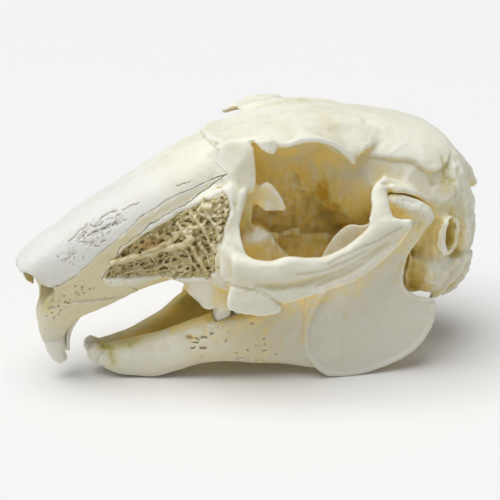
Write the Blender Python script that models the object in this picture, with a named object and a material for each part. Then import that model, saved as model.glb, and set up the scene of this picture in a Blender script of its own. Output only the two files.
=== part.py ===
"""A cottontail rabbit skull: the cranium, the two lower jaw bones and the teeth.

The skull stands on its lower jaw. The nose points to -X, up is +Z and the skull's left side is -Y.
Its origin is on the surface that it stands on, under the middle of the skull.
Lengths in this file are millimetres, and MM turns them into Blender's metres.

Each bone is a group of lofted shapes that run into each other. A Remesh modifier fuses the group
into one skin, Booleans cut the nose, ears, foramina and tooth sockets, and Decimate thins the faces.
"""

import math

import bmesh
import bpy
import numpy as np

MM = 0.001
GAP = 0.3
RING_POINTS = 20
RINGS_PER_SPAN = 3
TOOTH_POINTS = 8
TOOTH_RINGS_PER_SPAN = 2

# Driving sizes of the skull. X is counted from the last premolar and moved to the middle at the end.
MIDDLE_X = 0.82
HALF_BRAINCASE = 12.2
HALF_ZYGOMATIC = 17.0
HALF_SUPRAORBITAL = 11.2
HALF_ROSTRUM = 7.2
CROWN_HEIGHT = 39.9
OCCLUSAL_PLANE = 12.4
BRAINCASE_WALL = 1.6
ARCH_HOLLOW = 0.55

# Upper and lower cheek teeth from front to back: middle along X, length along X, width along Y.
UPPER_CHEEK_TEETH = [
    ("p2", -8.9, 1.5, 2.6),
    ("p3", -6.9, 1.9, 3.7),
    ("p4", -4.6, 2.0, 3.9),
    ("m1", -2.3, 2.0, 3.9),
    ("m2", 0.0, 2.0, 3.6),
    ("m3", 2.0, 1.3, 2.0),
]
LOWER_CHEEK_TEETH = [
    ("p3", -6.4, 2.5, 2.7),
    ("p4", -3.7, 2.2, 2.9),
    ("m1", -1.2, 2.2, 2.9),
    ("m2", 1.3, 2.2, 2.8),
    ("m3", 3.5, 1.5, 1.9),
]
UPPER_ROW_Y = -7.3
LOWER_ROW_Y = -6.9
UPPER_ROOT_Z = 16.5
LOWER_ROOT_Z = 7.9
WEAR_SLOPE = 0.25

# Shapes


def read_rows(rows, per_span):
    """Rows of (place, value, value...) read at even steps by a smooth cubic through them all."""
    rows = np.array(rows, float)
    place = rows[:, 0]
    count = per_span * (len(rows) - 1) + 1
    span = np.linspace(0, len(rows) - 1, count)
    t = np.interp(span, range(len(rows)), place)
    slope = np.gradient(rows[:, 1:], place, axis=0)
    i = np.clip(np.floor(span).astype(int), 0, len(rows) - 2)
    width = (place[i + 1] - place[i])[:, None]
    u = (t - place[i])[:, None] / width
    start, end = rows[i, 1:], rows[i + 1, 1:]
    value = (
        start * (1 + 2 * u) * (1 - u) ** 2
        + end * u**2 * (3 - 2 * u)
        + width * slope[i] * u * (1 - u) ** 2
        - width * slope[i + 1] * u**2 * (1 - u)
    )
    return np.column_stack([t, value])


def oval(power=2.0, points=RING_POINTS):
    """A superellipse of half-size 1 as two columns: power 2 is an ellipse, and 4 nearly a square."""
    angle = np.linspace(0, 2 * math.pi, points, endpoint=False)
    c, s = np.cos(angle), np.sin(angle)
    return (
        np.sign(c) * np.abs(c) ** (2 / power),
        np.sign(s) * np.abs(s) ** (2 / power),
    )


def along_x(rows, power=2.4, taper=0.0, lean=0.0, points=RING_POINTS, per_span=RINGS_PER_SPAN):
    """Rings across X. A row is (x, y, lowest z, highest z, half-width).

    Taper widens the top, and lean moves it towards +Y.
    """
    a, b = oval(power, points)
    rings = []
    for x, y, low, high, half in read_rows(rows, per_span):
        z = (low + high) / 2 + (high - low) / 2 * b
        side = y + half * a * (1 + taper * b) + lean * b
        rings.append(np.column_stack([np.full(len(a), x), side, z]))
    return rings


def along_z(rows, power=2.4):
    """Rings across Z. A row is (z, y, foremost x, rearmost x, half-width)."""
    a, b = oval(power)
    rings = []
    for z, y, front, rear, half in read_rows(rows, RINGS_PER_SPAN):
        x = (front + rear) / 2 + (rear - front) / 2 * b
        rings.append(np.column_stack([x, y + half * a, np.full(len(a), z)]))
    return rings


def along_path(rows, power=2.0, points=RING_POINTS, per_span=RINGS_PER_SPAN):
    """Rings square to a path. A row is (x, y, z, half-width in Y, half-depth across the path)."""
    table = [(i, *row) for i, row in enumerate(rows)]
    read = read_rows(table, per_span)[:, 1:]
    middle = read[:, :3]
    ahead = np.gradient(middle, axis=0)
    a, b = oval(power, points)
    rings = []
    for point, direction, half, depth in zip(middle, ahead, read[:, 3], read[:, 4]):
        direction = direction / np.linalg.norm(direction)
        side = np.array([0.0, 1.0, 0.0]) - direction[1] * direction
        side = side / np.linalg.norm(side)
        across = np.cross(direction, side)
        rings.append(point + np.outer(half * a, side) + np.outer(depth * b, across))
    return rings


def along_y(rows, power=2.0):
    """Rings across Y. A row is (y, middle x, middle z, half-size along X, half-size along Z)."""
    a, b = oval(power)
    rings = []
    for y, x, z, half, tall in read_rows(rows, RINGS_PER_SPAN):
        rings.append(np.column_stack([x + half * a, np.full(len(a), y), z + tall * b]))
    return rings


def leaf(middle, outline, half, rings=10):
    """A thin plate with a free outline, rounded at its edge: the outline shrunk to a middle point."""
    line = np.array(outline, float)
    middle = np.array(middle, float)
    normal = np.linalg.svd(line - line.mean(0))[2][2]
    made = []
    for angle in np.linspace(0.04, math.pi - 0.04, rings):
        size = math.sin(angle) ** 0.7
        lift = half * (1 - 0.999 * size**6) ** 0.25 * math.copysign(1, math.cos(angle))
        made.append(middle + size * (line - middle) + lift * normal)
    return made


def ball(middle, radii, power=2.0, rings=9):
    """Rings of an ellipsoid, stacked along X."""
    a, b = oval(power)
    made = []
    for angle in np.linspace(0.12, math.pi - 0.12, rings):
        x = np.full(len(a), -math.cos(angle) * radii[0])
        s = math.sin(angle)
        made.append(np.array(middle) + np.column_stack([x, s * radii[1] * a, s * radii[2] * b]))
    return made


def block(low, high):
    """Rings of a plain box between two corners, stacked along X."""
    (x0, y0, z0), (x1, y1, z1) = low, high
    return [np.array([(x, y0, z0), (x, y1, z0), (x, y1, z1), (x, y0, z1)]) for x in (x0, x1)]


def grown(rows, by):
    """Path rows made larger all round and at both ends, for the hollow that a piece sits in."""
    rows = np.array(rows, float)
    rows[:, 3:] += by
    for end, inner in ((0, 1), (-1, -2)):
        away = rows[end, :3] - rows[inner, :3]
        rows[end, :3] += by * away / np.linalg.norm(away)
    return rows


def mirrored(rings):
    """The same rings on the skull's other side."""
    return [ring * (1, -1, 1) for ring in rings]


def both_sides(*shapes):
    """Each shape and its mirror image."""
    return [side for rings in shapes for side in (rings, mirrored(rings))]


# Objects


def skin(bm, rings):
    """Adds the closed surface that joins a stack of rings, with a face on each end."""
    start = np.array([MIDDLE_X, 0.0, 0.0])
    loops = [[bm.verts.new((point - start) * MM) for point in ring] for ring in rings]
    faces = [bm.faces.new(loops[0]), bm.faces.new(loops[-1])]
    for near, far in zip(loops, loops[1:]):
        for i in range(len(near)):
            faces.append(bm.faces.new((near[i - 1], near[i], far[i], far[i - 1])))
    bmesh.ops.recalc_face_normals(bm, faces=faces)


def add_object(name, shapes):
    """One object that holds every shape of the list, each a closed shell."""
    bm = bmesh.new()
    for rings in shapes:
        skin(bm, rings)
    bmesh.ops.triangulate(bm, faces=[f for f in bm.faces if len(f.verts) > 4])
    mesh = bpy.data.meshes.new(name)
    bm.to_mesh(mesh)
    bm.free()
    made = bpy.data.objects.new(name, mesh)
    bpy.context.scene.collection.objects.link(made)
    return made


def add_cutter(name, shapes):
    """A helper object, which only Booleans use."""
    cutter = add_object(name, shapes)
    cutter.hide_render = True
    cutter.display_type = "WIRE"
    return cutter


def fuse(made, voxel):
    """Joins an object's shells into one skin."""
    remesh = made.modifiers.new("fuse", "REMESH")
    remesh.mode = "VOXEL"
    remesh.voxel_size = voxel * MM


def soften(made, iterations):
    """Rounds the creases where the shells met."""
    smooth = made.modifiers.new("soften", "SMOOTH")
    smooth.factor = 0.5
    smooth.iterations = iterations


def cut(made, cutter):
    """Takes the cutter out of an object."""
    boolean = made.modifiers.new(cutter.name, "BOOLEAN")
    boolean.operation = "DIFFERENCE"
    boolean.solver = "EXACT"
    boolean.use_self = True
    boolean.object = cutter


def thin(made, ratio):
    """Keeps that share of an object's triangles."""
    decimate = made.modifiers.new("thin", "DECIMATE")
    decimate.ratio = ratio
    decimate.use_collapse_triangulate = True


def finish(made, material):
    """Gives an object its material and smooth shading."""
    made.data.materials.append(material)
    made.data.shade_smooth()


def bone_material(name, colour, roughness):
    """A plain Principled BSDF: dry bone and enamel are not metallic."""
    material = bpy.data.materials.new(name)
    material.use_nodes = True
    shader = material.node_tree.nodes["Principled BSDF"]
    shader.inputs["Base Color"].default_value = (*colour, 1.0)
    shader.inputs["Roughness"].default_value = roughness
    shader.inputs["Metallic"].default_value = 0.0
    return material


# Cranium


def nose():
    """The rostrum: nasal bones on top, the premaxillae that hold the incisors, and the maxillae."""
    rostrum = along_x(
        [
            (-36.15, 0, 17.8, 19.4, 1.6),
            (-35.6, 0, 17.1, 20.3, 3.0),
            (-34.8, 0, 15.8, 21.2, 3.8),
            (-33.0, 0, 13.5, 22.7, 4.4),
            (-30.0, 0, 12.0, 24.7, 5.0),
            (-26.0, 0, 11.9, 27.4, 5.6),
            (-21.0, 0, 12.9, 30.3, 6.4),
            (-17.0, 0, 14.3, 32.5, 7.0),
            (-13.0, 0, 15.2, 34.9, HALF_ROSTRUM + 0.4),
            (-9.0, 0, 15.5, 36.4, HALF_ROSTRUM + 0.8),
            (-5.0, 0, 16.0, 37.6, HALF_ROSTRUM + 1.2),
            (-1.9, 0, 20.0, 38.3, HALF_ROSTRUM + 1.2),
        ],
        power=2.7,
        taper=0.06,
    )
    muzzle = along_z(
        [
            (7.7, 0, -33.0, -29.7, 2.7),
            (8.7, 0, -33.3, -28.9, 3.0),
            (10.0, 0, -33.6, -27.9, 3.5),
            (11.2, 0, -33.6, -26.2, 4.0),
            (12.4, 0, -33.3, -22.6, 4.5),
            (14.0, 0, -32.9, -18.6, 4.9),
        ],
        power=2.8,
    )
    return [rostrum, muzzle]


def cheek():
    """The maxilla where it flares from the rostrum to the orbit's front rim and the arch's root."""
    flare = along_x(
        [
            (-15.0, -5.0, 17.0, 27.0, 2.4),
            (-12.0, -6.2, 16.2, 29.6, 2.9),
            (-9.4, -7.6, 15.8, 30.6, 3.2),
            (-7.2, -9.2, 16.4, 30.0, 3.0),
            (-5.8, -10.4, 18.2, 28.4, 2.2),
        ],
        power=2.6,
        taper=-0.12,
    )
    orbit_front = leaf(
        (-4.6, -7.9, 33.6),
        [
            (-8.0, -5.0, 35.8),
            (-4.5, -6.6, 37.9),
            (-2.7, -8.3, 37.1),
            (-2.1, -8.9, 35.3),
            (-1.6, -9.1, 33.7),
            (-1.8, -9.2, 31.9),
            (-2.1, -9.2, 30.4),
            (-3.6, -9.4, 29.4),
            (-7.2, -8.4, 29.0),
            (-8.4, -7.2, 32.0),
        ],
        0.7,
    )
    sheet = leaf(
        (-5.9, -12.6, 23.8),
        [
            (-4.1, -9.9, 31.0),
            (-5.2, -10.7, 29.2),
            (-6.7, -11.3, 26.2),
            (-7.7, -12.1, 24.0),
            (-8.4, -12.9, 21.4),
            (-8.2, -13.5, 19.6),
            (-7.3, -14.0, 18.3),
            (-5.0, -14.7, 18.2),
            (-2.6, -15.0, 19.4),
            (-2.8, -14.9, 21.4),
            (-4.5, -14.0, 22.8),
            (-5.0, -12.9, 24.8),
            (-4.9, -12.0, 26.3),
            (-4.5, -11.0, 27.8),
            (-3.6, -10.0, 30.0),
        ],
        0.65,
    )
    root = along_x(
        [
            (-9.0, -10.4, 17.4, 23.4, 1.2),
            (-7.4, -12.0, 16.8, 24.0, 1.5),
            (-5.4, -13.4, 17.0, 23.0, 1.4),
            (-3.2, -14.6, 17.6, 22.0, 1.1),
        ],
        power=2.6,
    )
    alveolus = along_x(
        [
            (-11.4, -5.6, 14.0, 18.4, 1.8),
            (-9.6, -6.9, 13.1, 20.0, 2.8),
            (-6.0, -7.4, 12.8, 22.6, 3.2),
            (-2.6, -7.4, 12.8, 25.3, 3.2),
            (-0.4, -7.3, 12.9, 25.8, 3.1),
            (1.0, -7.1, 13.0, 25.4, 2.9),
            (2.2, -6.8, 13.2, 23.8, 2.6),
            (4.4, -6.0, 14.2, 20.6, 2.2),
        ],
        power=4.0,
    )
    return both_sides(flare, orbit_front, sheet, root, alveolus)


def brow():
    """The frontal roof, its wing-like supraorbital processes and the lacrimal tubercle."""
    roof = along_x(
        [
            (-8.0, 0, 34.4, 36.1, 4.8),
            (-4.0, 0, 35.6, 37.6, 5.6),
            (0.0, 0, 36.6, 38.9, 6.6),
            (4.0, 0, 37.0, 39.5, 7.4),
            (8.0, 0, 36.4, CROWN_HEIGHT, 7.6),
            (12.0, 0, 34.0, CROWN_HEIGHT, 7.2),
            (16.0, 0, 33.0, CROWN_HEIGHT - 0.6, 7.4),
        ],
        power=2.8,
    )
    near_wing = leaf(
        (5.6, -7.8, 39.0),
        [
            (-2.6, -6.4, 38.4),
            (-1.4, -9.6, 37.9),
            (-0.4, -10.6, 36.9),
            (0.6, -10.7, 36.8),
            (1.2, -10.4, 37.6),
            (2.3, -10.6, 37.5),
            (3.9, -10.8, 38.1),
            (5.8, -10.9, 38.3),
            (8.0, -10.9, 38.0),
            (10.0, -10.9, 37.0),
            (11.6, -10.9, 35.7),
            (12.9, 0.4 - HALF_SUPRAORBITAL, 34.0),
            (13.6, -9.8, 35.4),
            (13.4, -8.2, 37.6),
            (10.0, -6.0, 39.4),
            (4.0, -5.2, 39.6),
        ],
        0.65,
    )
    far_wing = leaf(
        (5.6, 7.8, 39.2),
        [
            (-2.6, 6.4, 38.4),
            (-0.4, 9.6, 38.0),
            (0.8, 10.6, 38.1),
            (2.0, 10.9, 38.9),
            (3.9, 11.0, 39.2),
            (6.6, 11.0, 39.1),
            (8.4, 10.9, 38.6),
            (9.8, 10.9, 37.8),
            (11.4, 10.9, 36.4),
            (12.9, HALF_SUPRAORBITAL - 0.4, 34.4),
            (13.6, 9.8, 35.6),
            (13.4, 8.2, 37.6),
            (10.0, 6.0, 39.4),
            (4.0, 5.2, 39.6),
        ],
        0.65,
    )
    far_spur = along_path(
        [
            (3.0, 10.2, 38.4, 0.7, 0.6),
            (0.8, 10.5, 37.9, 0.6, 0.5),
            (-1.0, 10.6, 37.5, 0.5, 0.4),
        ]
    )
    lacrimal = leaf(
        (0.4, -9.2, 29.4),
        [
            (-1.1, -8.4, 31.0),
            (-0.2, -9.1, 31.9),
            (0.6, -9.4, 31.6),
            (1.3, -9.6, 30.7),
            (2.1, -9.9, 29.4),
            (2.6, -10.2, 28.2),
            (2.5, -10.2, 27.6),
            (1.0, -9.8, 27.5),
            (-0.4, -9.2, 27.5),
            (-1.2, -8.6, 28.2),
            (-1.4, -8.2, 29.6),
        ],
        0.6,
    )
    lacrimal_root = along_path(
        [
            (-4.6, -7.4, 30.0, 0.9, 2.0),
            (-2.4, -7.9, 29.9, 0.8, 1.8),
            (-0.4, -8.7, 29.8, 0.6, 1.5),
        ]
    )
    return [roof, near_wing, far_wing, far_spur, *both_sides(lacrimal, lacrimal_root)]


def septum():
    """The wall between the eye sockets, and the front of the braincase that it widens into."""
    wall = along_z(
        [
            (16.6, 0, -9.0, 3.0, 3.4),
            (20.0, 0, -9.0, 15.0, 2.6),
            (25.0, 0, -8.0, 17.0, 2.4),
            (30.0, 0, -7.0, 17.0, 2.8),
            (34.0, 0, -7.0, 17.0, 4.4),
            (37.4, 0, -7.0, 17.0, 7.2),
        ],
        power=3.4,
    )
    return [wall]


def blade(rows, hollow):
    """Rings across X whose outer face is pressed in below the middle: a rail above and a lip below.

    A row is (x, y, lowest z, highest z, half-width, share of the full hollow).
    """
    a, b = oval(2.6, RING_POINTS + 12)
    rings = []
    for x, y, low, high, half, share in read_rows(rows, RINGS_PER_SPAN):
        press = hollow * share * np.exp(-(((b + 0.28) / 0.36) ** 2))
        side = y + half * a * np.where(a < 0, 1 - press, 0.85)
        rings.append(np.column_stack([np.full(len(a), x), side, (low + high) / 2 + (high - low) / 2 * b]))
    return rings


def zygomatic_arch():
    """The cheek bone: a deep blade with a thick upper rail, its front spine and its free rear tip."""
    bar = blade(
        [
            (-6.8, -13.7, 18.0, 22.8, 1.4, 0.0),
            (-4.0, -14.6, 17.0, 22.3, 1.4, 0.3),
            (-1.2, -15.1, 15.4, 21.9, 1.4, 1.0),
            (1.5, -15.4, 15.1, 22.4, 1.35, 1.0),
            (4.2, -15.6, 15.8, 21.9, 1.3, 0.9),
            (7.5, -15.9, 16.7, 22.2, 1.15, 0.8),
            (10.0, -16.2, 17.3, 23.4, 1.1, 0.6),
            (12.5, -16.4, 18.4, 25.4, 1.0, 0.4),
            (14.5, -16.5, 19.8, 26.9, 0.95, 0.3),
            (16.5, -16.6, 21.4, 27.2, 0.85, 0.2),
            (18.5, -16.7, 23.4, 26.9, 0.7, 0.0),
            (19.8, 0.2 - HALF_ZYGOMATIC, 25.5, 26.8, 0.5, 0.0),
        ],
        ARCH_HOLLOW,
    )
    spine = leaf(
        (-4.0, -15.2, 16.4),
        [
            (-7.1, -14.2, 18.9),
            (-7.5, -14.6, 17.2),
            (-7.8, -14.8, 15.8),
            (-7.1, -15.0, 15.0),
            (-5.5, -15.2, 14.5),
            (-4.0, -15.3, 14.1),
            (-1.9, -15.5, 13.8),
            (-0.6, -15.6, 13.7),
            (0.2, -15.6, 14.0),
            (0.4, -15.6, 14.6),
            (-0.9, -15.5, 15.2),
            (-2.2, -15.3, 16.6),
            (-3.2, -15.0, 18.2),
            (-5.0, -14.6, 19.0),
        ],
        0.7,
    )
    pillar = along_path(
        [
            (17.6, -9.8, 33.4, 1.2, 3.4),
            (16.8, -11.8, 32.2, 1.0, 2.5),
            (16.0, -13.6, 30.7, 0.8, 1.7),
            (15.6, -15.2, 28.7, 0.75, 1.6),
            (15.4, -16.3, 26.2, 0.8, 2.3),
            (15.6, -16.5, 24.6, 0.7, 2.2),
        ]
    )
    return both_sides(bar, spine, pillar)


def braincase_rows(inset=0.0):
    """The braincase's sections from front to back, or those of its inside, a wall's thickness in."""
    rows = [
        (4.6, 0, 29.0, 38.8, 2.6),
        (8.0, 0, 26.0, 39.2, 4.4),
        (12.0, 0, 22.4, CROWN_HEIGHT - 0.1, 7.2),
        (15.0, 0, 19.8, CROWN_HEIGHT - 0.4, 9.4),
        (18.5, 0, 18.0, 39.0, HALF_BRAINCASE - 0.7),
        (22.5, 0, 16.6, 38.2, HALF_BRAINCASE),
        (26.5, 0, 15.2, 37.2, HALF_BRAINCASE),
        (30.0, 0, 13.8, 35.6, HALF_BRAINCASE - 1.2),
        (32.6, 0, 12.8, 32.8, HALF_BRAINCASE - 3.6),
        (34.8, 0, 14.4, 29.2, HALF_BRAINCASE - 6.8),
    ]
    if inset:
        rows = [
            (x, y, low + 2 * inset, high - inset, half - inset)
            for x, y, low, high, half in rows
            if 9.0 < x < 34.0
        ]
    return rows


def braincase():
    """The ovoid braincase, the squamous root over the jaw's head and the blunt shield at the crown's back."""
    shell = along_x(braincase_rows(), power=2.5, taper=0.05)
    shelf = leaf(
        (20.6, -11.6, 31.0),
        [
            (15.6, -12.2, 33.2),
            (16.9, -13.4, 31.2),
            (18.1, -13.5, 29.8),
            (19.9, -13.3, 29.4),
            (22.2, -13.0, 28.6),
            (23.6, -12.6, 27.9),
            (24.9, -12.0, 27.0),
            (26.6, -11.0, 28.4),
            (26.0, -10.8, 31.4),
            (22.0, -10.8, 33.2),
            (18.0, -10.4, 34.2),
        ],
        0.8,
    )
    shield = along_path(
        [
            (29.8, 0, 34.2, 6.0, 1.4),
            (32.8, 0, 31.4, 5.2, 1.5),
            (35.3, 0, 28.2, 3.8, 1.4),
            (37.3, 0, 25.6, 2.2, 0.9),
        ],
        power=2.8,
    )
    return [shell, shield, *both_sides(shelf)]


def occiput():
    """The back of the skull with its two condyles, the base and the processes behind the ears."""
    block = along_z(
        [
            (9.6, 0, 30.0, 33.6, 4.6),
            (12.5, 0, 26.0, 34.8, 7.0),
            (16.0, 0, 23.0, 36.0, 8.6),
            (20.0, 0, 23.0, 36.5, 9.4),
            (24.0, 0, 24.0, 36.0, 9.4),
            (28.0, 0, 26.0, 34.6, 8.8),
        ],
        power=2.4,
    )
    base = along_x(
        [
            (3.0, 0, 18.6, 21.4, 1.8),
            (10.0, 0, 18.0, 21.0, 2.0),
            (18.0, 0, 15.6, 19.0, 2.8),
            (26.0, 0, 12.2, 16.0, 4.0),
            (33.0, 0, 8.8, 13.0, 4.4),
        ],
        power=2.6,
    )
    condyle = along_path(
        [
            (31.0, -2.9, 8.8, 1.6, 1.4),
            (32.4, -3.5, 10.0, 1.9, 1.6),
            (33.7, -4.4, 12.5, 1.8, 1.6),
            (34.4, -5.0, 15.8, 1.6, 1.3),
        ]
    )
    crest = along_path(
        [
            (29.8, -7.6, 33.2, 1.0, 1.0),
            (30.4, -9.2, 29.6, 1.1, 1.1),
            (31.2, -9.8, 25.0, 1.1, 1.1),
            (31.9, -9.4, 20.0, 1.1, 1.1),
            (31.8, -8.8, 16.0, 1.0, 1.2),
            (30.4, -8.4, 12.6, 0.9, 1.2),
        ]
    )
    jugular = along_z(
        [
            (9.8, -8.6, 26.9, 28.6, 0.8),
            (13.0, -8.8, 27.8, 31.4, 1.2),
            (17.0, -8.8, 28.4, 33.6, 1.8),
        ],
        power=2.4,
    )
    return [block, base, *both_sides(condyle, crest, jugular)]


def ear():
    """The rounded bulla under the braincase and the bony ear tube that rises from it."""
    bulla = ball((26.4, -8.4, 15.4), (3.5, 3.6, 4.4))
    tube = along_y(
        [
            (-8.0, 26.2, 18.6, 2.7, 3.5),
            (-10.4, 26.9, 20.4, 2.5, 3.4),
            (-12.2, 27.5, 21.8, 2.3, 3.4),
            (-13.2, 27.8, 22.2, 2.2, 3.4),
        ]
    )
    return both_sides(bulla, tube)


def palate():
    """The short bridge between the cheek teeth and the wings on each side of the inner nostrils."""
    bridge = along_x(
        [
            (-8.4, 0, 15.0, 18.4, 5.4),
            (-6.0, 0, 14.8, 18.6, 6.0),
            (-1.6, 0, 15.0, 18.6, 6.0),
        ],
        power=3.0,
    )
    wing = along_x(
        [
            (-2.4, -4.0, 15.0, 20.6, 1.0),
            (3.0, -3.4, 15.0, 21.0, 0.9),
            (8.0, -3.4, 13.6, 21.0, 0.9),
            (12.0, -3.8, 12.4, 20.6, 0.9),
            (15.4, -4.2, 12.6, 19.0, 0.8),
            (17.4, -4.4, 14.6, 17.6, 0.7),
        ],
        power=2.6,
    )
    return [bridge, *both_sides(wing)]


def nose_cavity():
    """The open nasal passage, widest at the front, and the two long slots in front of the palate."""
    passage = along_x(
        [
            (-40.0, 0, 12.2, 18.4, 2.9),
            (-35.0, 0, 12.6, 19.2, 3.0),
            (-33.0, 0, 13.2, 21.0, 3.4),
            (-31.0, 0, 14.6, 22.2, 3.6),
            (-28.0, 0, 16.2, 22.8, 3.6),
            (-24.0, 0, 18.6, 24.8, 3.2),
            (-20.0, 0, 20.8, 25.6, 2.2),
        ],
        power=2.3,
    )
    slot = along_x(
        [
            (-24.0, -1.3, 11.0, 16.0, 0.6),
            (-20.0, -1.6, 11.6, 17.0, 1.0),
            (-15.0, -2.0, 12.6, 18.4, 1.4),
            (-11.0, -2.4, 13.0, 18.6, 1.4),
            (-8.6, -2.6, 13.0, 17.6, 1.0),
        ],
        power=2.4,
    )
    return [passage, *both_sides(slot)]


def lattice_pits():
    """The larger holes of the open bony lattice on the side of the snout."""
    pits = []
    for x0, z0, x1, z1, y, size in (
        (-21.4, 17.2, -18.6, 18.0, -5.6, 0.7),
        (-20.8, 20.0, -17.8, 21.0, -6.2, 0.75),
        (-17.4, 17.6, -14.4, 18.6, -6.4, 0.75),
        (-16.6, 21.2, -14.2, 22.8, -7.0, 0.8),
        (-15.6, 24.4, -13.0, 26.4, -7.2, 0.8),
        (-13.0, 19.2, -11.2, 21.0, -7.6, 0.7),
        (-12.2, 23.2, -10.4, 25.8, -8.8, 0.8),
        (-11.4, 27.6, -9.2, 29.4, -9.2, 0.8),
    ):
        middle = ((x0 + x1) / 2, y, (z0 + z1) / 2, 1.3, size)
        pits.append(along_path([(x0, y, z0, 0.6, 0.3), middle, (x1, y, z1, 0.6, 0.3)], points=10))
    return both_sides(*pits)


def ear_canal():
    """The bore of the ear tube."""
    bore = along_y(
        [
            (-9.8, 27.0, 20.4, 0.8, 1.7),
            (-11.6, 27.4, 21.6, 1.0, 2.2),
            (-13.0, 27.8, 22.2, 1.2, 2.6),
            (-15.5, 28.2, 22.8, 1.5, 3.0),
        ]
    )
    return both_sides(bore)


def brain_cavity():
    """The inside of the braincase and the foramen magnum, through which it opens at the back."""
    inside = along_x(braincase_rows(inset=BRAINCASE_WALL), power=2.4, taper=0.05)
    foramen = along_path(
        [
            (26.0, 0, 18.2, 3.4, 3.3),
            (32.0, 0, 17.7, 3.5, 3.3),
            (36.0, 0, 17.4, 3.5, 3.3),
            (41.0, 0, 17.2, 3.6, 3.3),
        ],
        power=2.3,
    )
    return [inside, foramen]


# Lower jaw


def condyle_rows():
    """The head of the jaw, which fits under the root of the cheek arch."""
    return [
        (15.9, -13.0, 27.6, 0.8, 1.0),
        (18.0, -13.2, 28.0, 1.4, 1.5),
        (20.6, -13.4, 27.3, 1.4, 1.5),
        (23.0, -13.5, 26.2, 1.3, 1.4),
        (24.1, -13.5, 24.8, 0.9, 1.0),
    ]


def jaw_bone():
    """The left dentary: its body, rear plate, ramus and condyle."""
    body = along_x(
        [
            (-24.9, -1.6, 2.6, 4.8, 1.4),
            (-23.6, -1.7, 1.5, 5.0, 1.6),
            (-21.8, -1.9, 0.6, 5.3, 1.9),
            (-19.0, -2.3, -0.3, 5.8, 2.1),
            (-16.8, -3.0, -0.3, 6.4, 2.3),
            (-13.5, -4.1, 1.1, 7.5, 2.4),
            (-10.5, -5.4, 2.4, 9.0, 2.5),
            (-7.0, -6.5, 3.0, 10.4, 2.7),
            (-2.0, -7.2, 2.4, 11.0, 2.9),
            (3.0, -8.2, 1.9, 12.4, 2.8),
            (7.0, -9.8, 1.4, 13.8, 1.7),
            (11.0, -11.4, 1.6, 15.4, 0.9),
        ],
        power=2.3,
        lean=0.6,
    )
    gum = along_x(
        [
            (-9.2, -6.2, 5.0, 9.6, 1.9),
            (-7.5, -6.7, 5.0, 10.2, 2.4),
            (-4.6, -6.9, 5.0, 10.9, 2.6),
            (0.0, -6.9, 5.0, 11.4, 2.6),
            (4.0, -6.9, 5.0, 11.6, 2.3),
            (6.0, -7.4, 5.0, 11.8, 1.6),
        ],
        power=4.0,
    )
    plate = leaf(
        (13.6, -12.0, 11.0),
        [
            (6.1, -10.5, 12.4),
            (5.1, -11.0, 8.4),
            (5.3, -11.2, 5.3),
            (6.0, -11.3, 3.7),
            (7.5, -11.5, 1.9),
            (8.7, -11.6, 0.3),
            (9.4, -11.7, -0.2),
            (12.3, -11.9, -0.3),
            (15.0, -12.1, 0.1),
            (17.7, -12.3, 0.9),
            (20.0, -12.5, 1.7),
            (22.2, -12.7, 2.9),
            (24.0, -12.9, 4.5),
            (25.2, -13.0, 6.2),
            (25.9, -13.1, 8.4),
            (26.2, -13.1, 10.6),
            (25.9, -13.1, 11.6),
            (24.6, -13.0, 11.9),
            (22.6, -12.9, 12.4),
            (21.2, -12.7, 13.1),
            (20.3, -12.6, 14.2),
            (20.0, -12.4, 16.4),
            (20.9, -12.6, 20.0),
            (22.0, -12.8, 22.0),
            (23.6, -13.2, 23.6),
            (23.8, -13.4, 25.4),
            (21.0, -13.4, 27.4),
            (17.2, -13.0, 27.4),
            (14.7, -12.0, 24.8),
            (12.4, -11.4, 24.8),
            (11.0, -11.0, 24.0),
            (9.4, -10.6, 22.0),
            (8.4, -10.4, 19.6),
            (7.8, -10.3, 16.4),
            (7.3, -10.3, 14.0),
        ],
        0.6,
    )
    rim = along_path(
        [
            (7.6, -11.0, 13.4, 0.6, 0.6),
            (6.0, -11.1, 10.6, 0.7, 0.7),
            (5.6, -11.2, 6.4, 0.7, 0.7),
            (6.4, -11.4, 3.4, 0.7, 0.7),
            (9.2, -11.7, 0.5, 0.7, 0.7),
            (14.0, -12.1, 0.4, 0.7, 0.7),
            (19.4, -12.7, 2.1, 0.6, 0.6),
            (23.4, -13.0, 4.8, 0.6, 0.6),
            (25.4, -13.2, 8.4, 0.6, 0.6),
            (25.4, -13.2, 11.0, 0.6, 0.6),
        ]
    )
    edge = along_path(
        [
            (25.2, -13.1, 11.4, 0.6, 0.5),
            (22.6, -13.0, 12.4, 0.6, 0.5),
            (20.6, -12.7, 14.0, 0.6, 0.5),
            (20.2, -12.5, 16.6, 0.6, 0.5),
            (20.9, -12.8, 19.8, 0.6, 0.5),
            (22.2, -13.1, 22.2, 0.7, 0.6),
            (23.0, -13.4, 24.4, 0.9, 0.8),
        ]
    )
    return [body, gum, plate, rim, edge, along_path(condyle_rows())]


# Teeth


def incisor_rows(upper):
    """Rows for the left incisor: (x, y, z, half-width, half-depth), root first."""
    if upper:
        return [
            (-28.4, -1.75, 13.4, 1.05, 1.1),
            (-30.5, -1.65, 11.0, 1.1, 1.35),
            (-31.5, -1.5, 8.6, 1.15, 1.5),
            (-31.6, -1.4, 6.4, 1.15, 1.45),
            (-31.3, -1.35, 4.9, 1.1, 1.25),
            (-30.7, -1.35, 3.5, 1.05, 0.8),
        ]
    return [
        (-19.4, -1.75, 2.6, 1.0, 1.1),
        (-22.0, -1.65, 2.6, 1.1, 1.3),
        (-24.0, -1.5, 3.2, 1.15, 1.5),
        (-25.2, -1.4, 4.1, 1.15, 1.35),
        (-25.8, -1.35, 5.0, 1.05, 0.8),
    ]


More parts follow.
